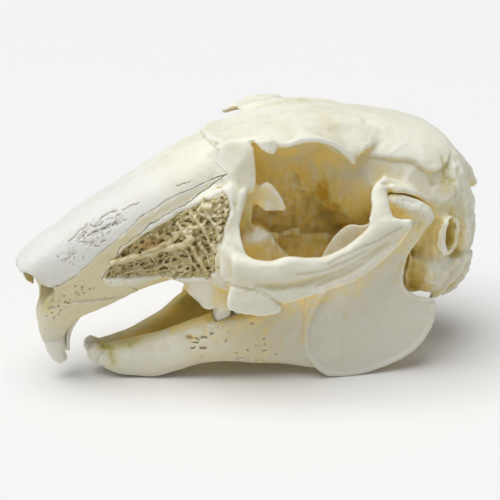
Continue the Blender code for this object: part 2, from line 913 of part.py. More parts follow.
def peg_rows():
    """Rows for the small second incisor that stands behind the first."""
    return [
        (-27.6, -1.6, 10.6, 0.5, 0.4),
        (-28.9, -1.5, 8.6, 0.6, 0.45),
        (-29.5, -1.4, 6.6, 0.6, 0.45),
        (-29.5, -1.3, 4.8, 0.5, 0.35),
    ]


def tooth_path(rows):
    """A front tooth's rings, with few faces."""
    return along_path(rows, points=TOOTH_POINTS, per_span=TOOTH_RINGS_PER_SPAN)


def cheek_tooth(x, y, length, width, root, crown):
    """A tall column with a rounded outline, narrowed at the crown, and a sloping wear face."""
    a, b = oval(3.4, 8)
    rings = []
    for share, size, slope in ((0.0, 1.0, 0.0), (0.6, 1.0, 0.0), (0.92, 0.97, 1.0), (1.0, 0.84, 1.0)):
        z = root + share * (crown - root) + slope * WEAR_SLOPE * a
        rings.append(np.column_stack([x + size * length / 2 * b, y + size * width / 2 * a, z]))
    return rings


def trough(table, y, low, high):
    """The socket that a whole row of cheek teeth stands in, with a gap all round."""
    rows = [(x, y, low, high, width / 2 + GAP) for _, x, _, width in table]
    first, last = table[0], table[-1]
    start = (first[1] - first[2] / 2 - GAP, y, low, high, first[3] / 2 + GAP)
    end = (last[1] + last[2] / 2 + GAP, y, low, high, last[3] / 2 + GAP)
    return along_x([start, *rows, end], power=30.0, points=TOOTH_POINTS + 2, per_span=1)


# The whole skull


def clear_scene():
    """Removes what the scene starts with."""
    for old in list(bpy.data.objects):
        bpy.data.objects.remove(old)


def build_cranium(material):
    """The cranium, one piece of bone from nose to occiput."""
    shapes = [
        *nose(),
        *cheek(),
        *brow(),
        *septum(),
        *zygomatic_arch(),
        *braincase(),
        *occiput(),
        *ear(),
        *palate(),
    ]
    cranium = add_object("cranium", shapes)
    fuse(cranium, voxel=0.5)
    jaw_seat = both_sides(along_path(grown(condyle_rows(), 2 * GAP)))
    hollows = [*nose_cavity(), *lattice_pits(), *ear_canal(), *brain_cavity(), *jaw_seat]
    cut(cranium, add_cutter("cranium_hollows", hollows))
    fuse(cranium, voxel=0.45)
    soften(cranium, iterations=3)
    thin(cranium, 0.031)
    incisors = tooth_path(grown(incisor_rows(upper=True), GAP))
    row = trough(UPPER_CHEEK_TEETH, UPPER_ROW_Y, OCCLUSAL_PLANE - 2, UPPER_ROOT_Z + GAP)
    cut(cranium, add_cutter("cranium_sockets", both_sides(incisors, row)))
    pegs = tooth_path(grown(peg_rows(), GAP))
    cut(cranium, add_cutter("cranium_peg_sockets", both_sides(pegs)))
    finish(cranium, material)


def build_jaw(side, material):
    """One dentary, with a flat chin seam, tooth sockets and a flat underside where it rests."""
    turn = mirrored if side == "right" else list
    jaw = add_object(f"mandible_{side}", [turn(rings) for rings in jaw_bone()])
    fuse(jaw, voxel=0.4)
    soften(jaw, iterations=3)
    thin(jaw, 0.032)
    other_side = block((-40, -GAP / 2, -20), (40, 20, 60))
    ground = block((-41, -21, -21), (41, 21, 0))
    cut(jaw, add_cutter(f"seam_{side}", [turn(other_side)]))
    cut(jaw, add_cutter(f"underside_{side}", [turn(ground)]))
    incisor = tooth_path(grown(incisor_rows(upper=False), GAP))
    row = trough(LOWER_CHEEK_TEETH, LOWER_ROW_Y, LOWER_ROOT_Z - GAP, OCCLUSAL_PLANE + 3)
    cut(jaw, add_cutter(f"sockets_{side}", [turn(incisor), turn(row)]))
    finish(jaw, material)


def build_teeth(material):
    """Incisors, peg teeth and cheek teeth, each its own piece."""
    left = {
        "upper_incisor": tooth_path(incisor_rows(upper=True)),
        "peg_incisor": tooth_path(peg_rows()),
        "lower_incisor": tooth_path(incisor_rows(upper=False)),
    }
    for name, x, length, width in UPPER_CHEEK_TEETH:
        crown = OCCLUSAL_PLANE + GAP
        left[f"upper_{name}"] = cheek_tooth(x, UPPER_ROW_Y, length, width, UPPER_ROOT_Z, crown)
    for name, x, length, width in LOWER_CHEEK_TEETH:
        crown = OCCLUSAL_PLANE - GAP / 2
        left[f"lower_{name}"] = cheek_tooth(x, LOWER_ROW_Y, length, width, LOWER_ROOT_Z, crown)
    for name, rings in left.items():
        finish(add_object(f"{name}_left", [rings]), material)
        finish(add_object(f"{name}_right", [mirrored(rings)]), material)


clear_scene()
bone = bone_material("bone", (0.83, 0.81, 0.70), 0.55)
enamel = bone_material("tooth", (0.80, 0.79, 0.70), 0.35)
build_cranium(bone)
build_jaw("left", bone)
build_jaw("right", bone)
build_teeth(enamel)
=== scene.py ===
# %% [markdown]
# # A cottontail rabbit's skull
# This file dresses a measured skull. The measured solids come first, as a frame that fixes every place and
# size. Around that frame each bone and tooth is made again with a fine surface: sutures, pits, the open
# lattice of the snout, thin rims and stains. The nose points to -X, up is +Z and the skull's left side is
# -Y. Sizes are in millimetres, with X counted from the second upper molar, and ORIGIN is where the measured
# skull has its zero point.

# %% Load the measured skull
import math

import bpy
import numpy as np
from mathutils import Matrix, Vector
from mathutils.bvhtree import BVHTree


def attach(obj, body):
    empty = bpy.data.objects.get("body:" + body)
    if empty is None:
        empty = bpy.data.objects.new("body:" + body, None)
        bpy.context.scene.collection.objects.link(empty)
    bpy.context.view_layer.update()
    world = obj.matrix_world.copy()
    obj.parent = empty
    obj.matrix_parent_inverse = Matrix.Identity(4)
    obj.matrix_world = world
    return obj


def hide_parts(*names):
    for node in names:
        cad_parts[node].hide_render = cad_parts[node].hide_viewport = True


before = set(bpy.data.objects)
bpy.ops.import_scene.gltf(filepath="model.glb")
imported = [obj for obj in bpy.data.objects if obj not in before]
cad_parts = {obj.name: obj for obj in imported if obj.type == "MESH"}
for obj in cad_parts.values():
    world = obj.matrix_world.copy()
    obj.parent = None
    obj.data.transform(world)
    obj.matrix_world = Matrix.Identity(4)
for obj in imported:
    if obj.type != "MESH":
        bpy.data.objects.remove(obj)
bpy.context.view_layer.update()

MM = 0.001
ORIGIN = np.array([0.82, 0.0, 0.0])
FINE = 1.0
print("measured solids:", len(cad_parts))

# %% [markdown]
# ## The camera
# The skull was seen from its left, a little from the front and from above, with a long lens. The camera
# looks at a point in the middle of the skull. A short lens close by would swell the nose, so the lens is
# worked out from the distance and from how much of the skull's plane the picture takes in, both in metres.

# %% Place the camera
CAMERA_TURN = math.radians(-16.0)
CAMERA_RISE = math.radians(21.5)
CAMERA_DISTANCE = 0.21
CAMERA_TARGET = Vector((-0.82, 0.0, 17.7)) * MM
PICTURE_WIDTH = 0.078125
SENSOR = 36.0


def place_camera():
    """Looks at the target from a turn about Z and a rise above the horizon."""
    away = Vector((
        math.sin(CAMERA_TURN) * math.cos(CAMERA_RISE),
        -math.cos(CAMERA_TURN) * math.cos(CAMERA_RISE),
        math.sin(CAMERA_RISE),
    ))
    right = Vector((math.cos(CAMERA_TURN), math.sin(CAMERA_TURN), 0.0))
    camera = bpy.data.objects.new("camera", bpy.data.cameras.new("camera"))
    camera.data.lens = SENSOR * CAMERA_DISTANCE / PICTURE_WIDTH
    camera.data.sensor_width = SENSOR
    camera.data.clip_start = 0.01
    camera.data.clip_end = 10.0
    turned = Matrix((right, away.cross(right), away)).transposed().to_4x4()
    turned.translation = CAMERA_TARGET + away * CAMERA_DISTANCE
    camera.matrix_world = turned
    bpy.context.scene.collection.objects.link(camera)
    bpy.context.scene.camera = camera
    return camera


camera = place_camera()
print("camera lens in mm:", round(camera.data.lens, 1))

# %% [markdown]
# ## Rings and lofts
# A bone here starts as a stack of rings. Each ring is a superellipse, which runs from an ellipse to a
# rounded box as its power grows. A table gives a few rings, and a smooth cubic fills in the rest, so few
# numbers make a long form. All is worked out in millimetres as whole arrays, and becomes metres only when
# it goes into a mesh.

# %% Read tables smoothly
def read_rows(rows, steps):
    """Reads a table at even steps by a cubic through every row, sloped there as the rows beside it say."""
    rows = np.array(rows, float)
    place = rows[:, 0]
    span = np.linspace(0, len(rows) - 1, steps * (len(rows) - 1) + 1)
    t = np.interp(span, range(len(rows)), place)
    slope = np.gradient(rows[:, 1:], place, axis=0)
    i = np.clip(np.floor(span).astype(int), 0, len(rows) - 2)
    width = (place[i + 1] - place[i])[:, None]
    u = (t - place[i])[:, None] / width
    value = (
        rows[i, 1:] * (1 + 2 * u) * (1 - u) ** 2
        + rows[i + 1, 1:] * u**2 * (3 - 2 * u)
        + width * slope[i] * u * (1 - u) ** 2
        - width * slope[i + 1] * u**2 * (1 - u)
    )
    return np.column_stack([t, value])


def oval(power, points):
    """A superellipse: cosine and sine of even angles, each raised to 2 / power with its sign kept."""
    angle = np.linspace(0, 2 * math.pi, points, endpoint=False)
    c, s = np.cos(angle), np.sin(angle)
    return np.sign(c) * np.abs(c) ** (2 / power), np.sign(s) * np.abs(s) ** (2 / power)


# %% Loft along X, along Z or along a path
def loft_x(rows, power=2.4, taper=0.0, lean=0.0, points=64, steps=6):
    """Rings across X from rows of (x, y, lowest z, highest z, half-width).

    A ring's y is its middle plus its half-width times the oval's first number, wider to the top by taper
    and moved sideways by lean. Its z runs from the lowest to the highest with the oval's second number.
    """
    r = read_rows(rows, steps)
    a, b = oval(power, points)
    x = r[:, 0:1] + 0 * a
    y = r[:, 1:2] + r[:, 4:5] * a * (1 + taper * b) + lean * b
    z = (r[:, 2:3] + r[:, 3:4]) / 2 + (r[:, 3:4] - r[:, 2:3]) / 2 * b
    return np.stack([x, y, z], -1)


def loft_z(rows, power=2.4, points=64, steps=6):
    """Rings across Z from rows of (z, y, foremost x, rearmost x, half-width), as loft_x makes its own."""
    r = read_rows(rows, steps)
    a, b = oval(power, points)
    z = r[:, 0:1] + 0 * a
    y = r[:, 1:2] + r[:, 4:5] * a
    x = (r[:, 2:3] + r[:, 3:4]) / 2 + (r[:, 3:4] - r[:, 2:3]) / 2 * b
    return np.stack([x, y, z], -1)


def unit(v):
    """Directions of length one."""
    return v / np.linalg.norm(v, axis=-1, keepdims=True)


def loft_path(rows, power=2.0, points=40, steps=6, roll=0.0):
    """Rings square to a path, from rows of (x, y, z, half-width sideways, half-depth across the path).

    At each step one axis is Y with its part along the path taken off, and the other is square to both.
    Roll turns the pair about the path, in degrees.
    """
    r = read_rows([(i, *row) for i, row in enumerate(rows)], steps)[:, 1:]
    ahead = unit(np.gradient(r[:, :3], axis=0))
    side = unit(np.array([0.0, 1.0, 0.0]) - ahead[:, 1:2] * ahead)
    across = np.cross(ahead, side)
    c, s = math.cos(math.radians(roll)), math.sin(math.radians(roll))
    side, across = c * side + s * across, c * across - s * side
    a, b = oval(power, points)
    wide = (r[:, 3:4] * a)[..., None] * side[:, None]
    deep = (r[:, 4:5] * b)[..., None] * across[:, None]
    return r[:, None, :3] + wide + deep


def ball(middle, radii, rings=25, points=48):
    """An ellipsoid: rings along X whose size is the sine of an even angle."""
    a, b = oval(2.0, points)
    angle = np.linspace(0.05, math.pi - 0.05, rings)[:, None]
    x = -np.cos(angle) * radii[0] + 0 * a
    return np.array(middle) + np.stack([x, np.sin(angle) * radii[1] * a, np.sin(angle) * radii[2] * b], -1)


def loft_y(rows, power=2.0, points=48, steps=6):
    """Rings across Y: x is a middle plus a half-size times an oval's first number, z one with its second.

    A row is (y, middle x, middle z, half-size along X, half-size along Z).
    """
    r = read_rows(rows, steps)
    a, b = oval(power, points)
    return np.stack([r[:, 1:2] + r[:, 3:4] * a, r[:, 0:1] + 0 * a, r[:, 2:3] + r[:, 4:5] * b], -1)


def leaf(middle, outline, half, rim=0.0, corners=False, rings=24):
    """A thin plate with a free outline: a closed line of points in space, filled from one middle point.

    Each ring is the outline shrunk towards the middle by s and lifted off the outline's own plane by half
    times the fourth root of 1 - s to the sixth, so that the plate is even and its edge is round. Rim adds a
    swelling near the edge. The line is a closed cubic through its points, or straight between them.
    """
    p = np.array(outline, float)
    t = np.linspace(0, 1, 3 if corners else 5, endpoint=False)[None, :, None]
    before, start, end, after = (np.roll(p, k, 0)[:, None] for k in (1, 0, -1, -2))
    bend = 0 if corners else t * (1 - t) / 2
    swing = (start - before) * (1 - t) + (end - after) * t - (1 - 2 * t) * (end - start)
    line = (start * (1 - t) + end * t + bend * swing).reshape(-1, 3)
    normal = np.linalg.svd(p - p.mean(0))[2][2]
    turn = np.linspace(0.02, math.pi - 0.02, rings)[:, None, None]
    s = np.sin(turn) ** 0.7
    lift = half * (1 - s**6 * 0.999) ** 0.25 + rim * np.exp(-(((s - 0.9) / 0.09) ** 2))
    return np.array(middle) + s * (line - np.array(middle)) + np.sign(np.cos(turn)) * lift * normal


def mirrored(rings):
    """The same form on the skull's other side: y changes its sign."""
    return rings * (1, -1, 1)


def both_sides(*forms):
    """Each form and its mirror image."""
    return [side for rings in forms for side in (rings, mirrored(rings))]


def grown(rows, by):
    """Path rows made larger all round and longer at both ends, for the hollow that a piece sits in."""
    rows = np.array(rows, float)
    rows[:, 3:5] += by
    for end, inner in ((0, 1), (-1, -2)):
        rows[end, :3] += by * unit(rows[end, :3] - rows[inner, :3])
    return rows


# %% [markdown]
# ## From rings to a mesh
# A form becomes a closed shell: squares between the rings, and a fan at each end. Shells that run into each
# other are fused by a voxel remesh, which keeps only their common outside, as a growing bone has one skin.
# A little smoothing then rounds the creases where they met. The other choice is a Boolean union of every
# pair, which keeps hard creases that bone doesn't have.

# %% Put shells into a mesh
def shell_faces(rings, points):
    """Squares between neighbouring rings, and triangles from each end ring to a point in its middle."""
    index = np.arange(rings * points).reshape(rings, points)
    near, far = index[:-1], index[1:]
    squares = np.stack([near, np.roll(near, -1, 1), np.roll(far, -1, 1), far], -1).reshape(-1, 4)
    front = np.stack([np.full(points, rings * points), np.roll(index[0], -1), index[0]], -1)
    back = np.stack([np.full(points, rings * points + 1), index[-1], np.roll(index[-1], -1)], -1)
    return squares, np.vstack([front, back])


def volume_of(points, squares):
    """Signed volume from the squares' diagonal halves, which tells whether a shell is inside out."""
    a, b, c, d = (points[squares[:, i]] for i in range(4))
    return np.sum(a * np.cross(b, c)) + np.sum(a * np.cross(c, d))


def add_mesh(name, points, faces):
    """An object at the origin whose mesh has these points, in millimetres, and these arrays of faces."""
    mesh = bpy.data.meshes.new(name)
    mesh.vertices.add(len(points))
    mesh.vertices.foreach_set("co", ((points - ORIGIN) * MM).astype(np.float32).ravel())
    corners = np.concatenate([f.ravel() for f in faces]).astype(np.int32)
    sizes = np.concatenate([np.full(len(f), f.shape[1]) for f in faces])
    mesh.loops.add(len(corners))
    mesh.loops.foreach_set("vertex_index", corners)
    mesh.polygons.add(len(sizes))
    mesh.polygons.foreach_set("loop_start", (np.cumsum(sizes) - sizes).astype(np.int32))
    mesh.update(calc_edges=True)
    piece = bpy.data.objects.new(name, mesh)
    bpy.context.scene.collection.objects.link(piece)
    return piece


def add_shells(name, shells):
    """One object that holds every form of a list as a closed shell with its faces outwards."""
    all_points, squares, triangles, count = [], [], [], 0
    for rings in shells:
        n, m = rings.shape[:2]
        points = np.vstack([rings.reshape(-1, 3), rings[0].mean(0), rings[-1].mean(0)])
        four, three = shell_faces(n, m)
        if volume_of(points, four) < 0:
            four, three = four[:, ::-1], three[:, ::-1]
        all_points.append(points)
        squares.append(four + count)
        triangles.append(three + count)
        count += len(points)
    return add_mesh(name, np.vstack(all_points), [np.vstack(squares), np.vstack(triangles)])


# %% Run modifiers and keep the result
def settle(piece):
    """Runs a piece's modifiers and keeps only the mesh that they give."""
    depsgraph = bpy.context.evaluated_depsgraph_get()
    made = bpy.data.meshes.new_from_object(piece.evaluated_get(depsgraph))
    old = piece.data
    piece.modifiers.clear()
    piece.data = made
    bpy.data.meshes.remove(old)
    made.name = piece.name
    return piece


def soften(piece, rounds):
    """Moves every point half way to the middle of its neighbours, a few times over."""
    smooth = piece.modifiers.new("soften", "SMOOTH")
    smooth.factor = 0.5
    smooth.iterations = rounds
    return settle(piece)


def fused(name, shells, voxel, rounds=3):
    """Shells joined into one skin on cubes of the given size, then softened."""
    piece = add_shells(name, shells)
    remesh = piece.modifiers.new("fuse", "REMESH")
    remesh.mode = "VOXEL"
    remesh.voxel_size = voxel * FINE * MM
    settle(piece)
    return soften(piece, rounds)


def combine(piece, tool, operation="DIFFERENCE"):
    """Cuts a closed tool out of a closed piece, or keeps only what both fill, and removes the tool."""
    boolean = piece.modifiers.new("tool", "BOOLEAN")
    boolean.operation = operation
    boolean.solver = "MANIFOLD"
    boolean.object = tool
    settle(piece)
    bpy.data.objects.remove(tool)
    return piece


def points_of(piece):
    """A piece's points in millimetres."""
    co = np.empty(len(piece.data.vertices) * 3, np.float32)
    piece.data.vertices.foreach_get("co", co)
    return co.reshape(-1, 3).astype(float) / MM + ORIGIN


def normals_of(piece):
    """The direction that the surface faces at each point."""
    n = np.empty(len(piece.data.vertices) * 3, np.float32)
    piece.data.vertex_normals.foreach_get("vector", n)
    return n.reshape(-1, 3).astype(float)


def move_points(piece, points):
    """Puts new places, in millimetres, into a piece's points."""
    piece.data.vertices.foreach_set("co", ((points - ORIGIN) * MM).astype(np.float32).ravel())
    piece.data.update()


def triangles_in(piece):
    """How many triangles a piece has."""
    return sum(len(p.vertices) - 2 for p in piece.data.polygons)


# %% [markdown]
# ## Noise, cells and lines
# Bone is uneven at every scale. Two patterns give that: a smooth noise, which is random numbers on a grid
# of whole steps with a soft blend between them, and cells, which is the distance to scattered points. Both
# come from a fixed formula, so that each run gives the same skull. Sutures and creases are lines, and a
# point needs only its distance to the line.

# %% Patterns in space
def scatter(whole, seed):
    """A fixed number from 0 to 1 for each whole-number place: its parts times large numbers, bits mixed."""
    w = whole.astype(np.int64).astype(np.uint32)
    h = w[..., 0] * np.uint32(374761393) + w[..., 1] * np.uint32(668265263)
    h = h + w[..., 2] * np.uint32(2246822519) + np.uint32(seed * 3266489917 % 2**32)
    h = (h ^ (h >> np.uint32(13))) * np.uint32(1274126177)
    h = (h ^ (h >> np.uint32(15))) * np.uint32(2654435761)
    return (h ^ (h >> np.uint32(16))) / 2**32


def noise(points, size, seed=0):
    """Smooth noise from -1 to 1: eight corners of a point's cube, blended by 3 f squared less 2 f cubed."""
    q = points / np.array(size)
    whole = np.floor(q)
    f = q - whole
    f = f * f * (3 - 2 * f)
    total = 0
    for corner in np.ndindex(2, 2, 2):
        share = np.prod(np.where(corner, f, 1 - f), axis=-1)
        total = total + share * scatter(whole + corner, seed)
    return 2 * total - 1


def rough(points, size, octaves=3, seed=0):
    """Noise upon noise: each layer has half the size and half the strength of the one before."""
    size = np.array(size, float)
    return sum(noise(points, size / 2**k, seed + k) / 2**k for k in range(octaves))


def cells(points, size, seed=0):
    """Distances to the nearest and second nearest of one scattered point for each cube, in cube lengths."""
    q = points / np.array(size)
    whole = np.floor(q)
    first = np.full(len(q), 9.0)
    second = np.full(len(q), 9.0)
    for step in np.ndindex(3, 3, 3):
        cube = whole + np.array(step) - 1
        place = np.stack([scatter(cube, seed + k) for k in range(3)], -1)
        d = np.linalg.norm(cube + place - q, axis=-1)
        second = np.minimum(second, np.maximum(first, d))
        first = np.minimum(first, d)
    return first, second


# %% Lines and outlines
def line_distance(points, line):
    """Shortest distance from each point to a chain of straight pieces, in two or three dimensions."""
    line = np.array(line, float)
    best = np.full(len(points), 1e9)
    for start, end in zip(line[:-1], line[1:]):
        along = end - start
        t = np.clip((points - start) @ along / (along @ along), 0, 1)
        best = np.minimum(best, np.linalg.norm(points - start - t[:, None] * along, axis=1))
    return best


def depth_inside(points, outline):
    """How far inside a closed outline each point is, and below zero outside it, in two dimensions."""
    outline = np.array(outline, float)
    inside = np.zeros(len(points), bool)
    for start, end in zip(outline, np.roll(outline, -1, 0)):
        crosses = (start[1] > points[:, 1]) != (end[1] > points[:, 1])
        rise = end[1] - start[1] if end[1] != start[1] else 1e-9
        crossing = start[0] + (points[:, 1] - start[1]) / rise * (end[0] - start[0])
        inside ^= crosses & (points[:, 0] < crossing)
    d = line_distance(points, np.vstack([outline, outline[:1]]))
    return np.where(inside, d, -d)


def ramp(value, low, high):
    """0 below low and 1 above high, with a soft S between them."""
    u = np.clip((value - low) / (high - low), 0, 1)
    return u * u * (3 - 2 * u)


def groove(distance, width):
    """1 on a line, falling to 0 at its half-width."""
    return 1 - ramp(distance, 0, width)


def wandered(line, step, sway, seed):
    """A line read at short even steps and pushed about by noise, as a suture wanders."""
    line = np.array(line, float)
    length = np.concatenate([[0], np.cumsum(np.linalg.norm(np.diff(line, axis=0), axis=1))])
    t = np.linspace(0, length[-1], max(2, int(length[-1] / step)))
    read = np.column_stack([np.interp(t, length, line[:, k]) for k in range(line.shape[1])])
    place = np.column_stack([t, 0 * t, 0 * t])
    fade = np.minimum(1, 4 * np.minimum(t, length[-1] - t) / length[-1])
    for k in range(line.shape[1]):
        read[:, k] += sway * fade * rough(place, 1.1, 2, seed + 7 * k)
    return read


# %% [markdown]
# ## The snout's surface
# The snout is a tapering box with rounded edges. Three kinds of bone share that one surface: the two long
# nasal bones on top, the bones that hold the front teeth, and behind them the open lattice. Each could be
# modelled by itself, but then their edges wouldn't meet. So the rows of the snout are stated once, and
# every bone of it is cut from the same form.

# %% Forms of the snout
def snout():
    """The rostrum, and the muzzle that curves down to the sockets of the front teeth."""
    rostrum = loft_x([
        (-36.05, 0, 17.9, 19.8, 2.2), (-35.6, 0, 17.2, 20.4, 3.1), (-34.8, 0, 15.9, 21.2, 3.8),
        (-33.2, 0, 13.8, 22.6, 4.4), (-30.0, 0, 12.0, 24.6, 5.0), (-26.0, 0, 11.9, 27.3, 5.6),
        (-21.0, 0, 12.9, 29.9, 6.4), (-17.0, 0, 14.3, 32.0, 7.0), (-13.0, 0, 15.2, 34.3, 7.6),
        (-9.0, 0, 15.5, 36.2, 8.0), (-5.0, 0, 16.0, 37.4, 8.4), (-1.9, 0, 20.0, 38.1, 8.4),
    ], power=2.7, taper=0.06)
    muzzle = loft_z([
        (6.9, 0, -33.2, -29.9, 2.5), (7.8, 0, -33.4, -29.5, 2.8), (8.8, 0, -33.5, -28.9, 3.1),
        (10.0, 0, -33.6, -27.9, 3.5), (11.2, 0, -33.6, -26.2, 4.0), (12.4, 0, -33.3, -22.6, 4.5),
        (14.0, 0, -32.9, -18.6, 4.9),
    ], power=2.8)
    far_flap = leaf((-34.3, 3.5, 17.6), [
        (-35.7, 3.3, 18.2), (-35.1, 3.4, 16.9), (-34.9, 3.4, 16.0), (-34.5, 3.4, 15.2), (-33.9, 3.5, 14.7),
        (-33.4, 3.5, 14.4), (-33.2, 3.6, 16.0), (-33.0, 3.7, 18.4), (-34.2, 3.6, 19.8), (-35.4, 3.4, 19.4),
    ], 0.42)
    return [rostrum, muzzle, far_flap]


print("snout forms:", len(snout()))

# %% [markdown]
# ## The brow
# Over each eye the frontal bone spreads into a thin wing with a broken edge, and a spur points forwards
# from it. A wing could be a flattened box, but its free outline is what the eye sees, so it is a thin leaf
# whose outline is read from points on its edge, with a fine rod along the rim.

# %% Forms of the brow
def brow():
    """The roof of the frontal bones, with the thin wings and spurs over the eyes."""
    roof = loft_x([
        (-8.0, 0, 34.4, 36.0, 4.8), (-4.0, 0, 35.6, 37.5, 5.6), (0.0, 0, 36.6, 38.8, 6.6),
        (4.0, 0, 37.0, 39.4, 7.4), (8.0, 0, 36.4, 39.8, 7.6), (12.0, 0, 34.0, 39.8, 7.6),
        (16.0, 0, 33.0, 39.3, 8.4),
    ], power=2.8)
    near_wing = leaf((5.6, -7.8, 39.0), [
        (-3.4, -5.6, 38.2), (-2.4, -8.3, 38.1), (0.0, -9.8, 38.0), (1.2, -10.4, 37.8), (2.3, -10.6, 37.5),
        (3.9, -10.8, 38.1), (5.8, -10.9, 38.3), (8.0, -10.9, 38.0), (10.0, -10.8, 37.1),
        (11.6, -10.8, 35.8), (12.9, -10.8, 34.1), (13.5, -10.6, 34.8), (14.8, -10.1, 35.6),
        (16.8, -9.0, 36.2), (18.2, -7.4, 37.4), (15.0, -6.4, 38.9), (10.0, -6.0, 39.4), (4.0, -5.2, 39.6),
    ], 0.5)
    near_rim = loft_path([
        (0.2, -9.7, 38.0, 0.4, 0.4), (1.2, -10.3, 37.8, 0.4, 0.45), (2.4, -10.6, 37.7, 0.4, 0.45),
        (4.0, -10.8, 38.2, 0.45, 0.5), (6.0, -10.9, 38.4, 0.45, 0.5), (8.0, -10.9, 38.0, 0.45, 0.5),
        (10.0, -10.9, 37.1, 0.45, 0.5), (11.6, -10.9, 35.7, 0.4, 0.45), (12.9, -10.9, 34.0, 0.3, 0.35),
    ])
    knob = leaf((-0.2, -10.2, 37.6), [
        (-1.6, -9.4, 38.4), (-1.7, -10.0, 37.9), (-1.3, -10.5, 37.2), (-0.8, -10.7, 37.3),
        (-0.5, -10.8, 36.6), (-0.1, -10.9, 37.0), (0.4, -10.9, 36.4), (0.9, -10.7, 36.9),
        (1.0, -10.3, 37.9), (0.0, -9.6, 38.5),
    ], 0.55, corners=True)
    chip = loft_path([
        (-2.2, -9.4, 38.3, 0.35, 0.3), (-0.9, -10.1, 38.4, 0.5, 0.35), (0.6, -10.4, 38.5, 0.4, 0.3),
    ])
    far_wing = leaf((5.0, 7.8, 39.3), [
        (0.6, 6.4, 38.7), (0.5, 9.4, 38.2), (0.7, 10.6, 38.2), (1.8, 10.9, 39.0), (3.8, 11.0, 39.3),
        (6.6, 11.0, 39.2), (8.4, 10.9, 38.8), (9.8, 10.9, 37.8), (11.4, 10.9, 36.4), (12.9, 10.8, 34.4),
        (13.6, 10.6, 34.9), (14.8, 10.1, 35.6), (16.8, 9.0, 36.2), (18.2, 7.4, 37.4), (15.0, 6.4, 38.9),
        (10.0, 6.0, 39.4), (4.0, 5.2, 39.6),
    ], 0.5)
    far_spur = loft_path([
        (3.0, 10.3, 38.5, 0.7, 0.6), (1.0, 10.6, 38.05, 0.65, 0.58), (-0.4, 10.6, 37.7, 0.6, 0.5),
        (-1.6, 10.5, 37.4, 0.5, 0.42),
    ])
    lacrimal = leaf((0.4, -9.2, 29.4), [
        (-1.1, -8.4, 31.0), (-0.2, -9.1, 31.9), (0.6, -9.4, 31.6), (1.3, -9.6, 30.7), (2.1, -9.9, 29.4),
        (2.6, -10.2, 28.2), (2.5, -10.2, 27.6), (1.0, -9.8, 27.5), (-0.4, -9.2, 27.5), (-1.2, -8.6, 28.2),
        (-1.4, -8.2, 29.6),
    ], 0.5)
    lacrimal_root = loft_path([
        (-4.6, -7.4, 30.0, 0.8, 2.0), (-2.4, -7.9, 29.9, 0.6, 1.8), (-0.4, -8.7, 29.8, 0.4, 1.5),
    ])
    return [roof, near_wing, near_rim, knob, chip, far_wing, far_spur, *both_sides(lacrimal, lacrimal_root)]


print("brow forms:", len(brow()))

# %% [markdown]
# ## The cheek and the walls of the eye socket
# In front of the eye the upper jaw bone flares out to carry the arch, and below the eye the long tooth
# roots push up a rounded block. Between the two sockets stands one thin wall. The flare is a loft, since it
# is thick, and the sheets around it are leaves, since only their outlines matter.

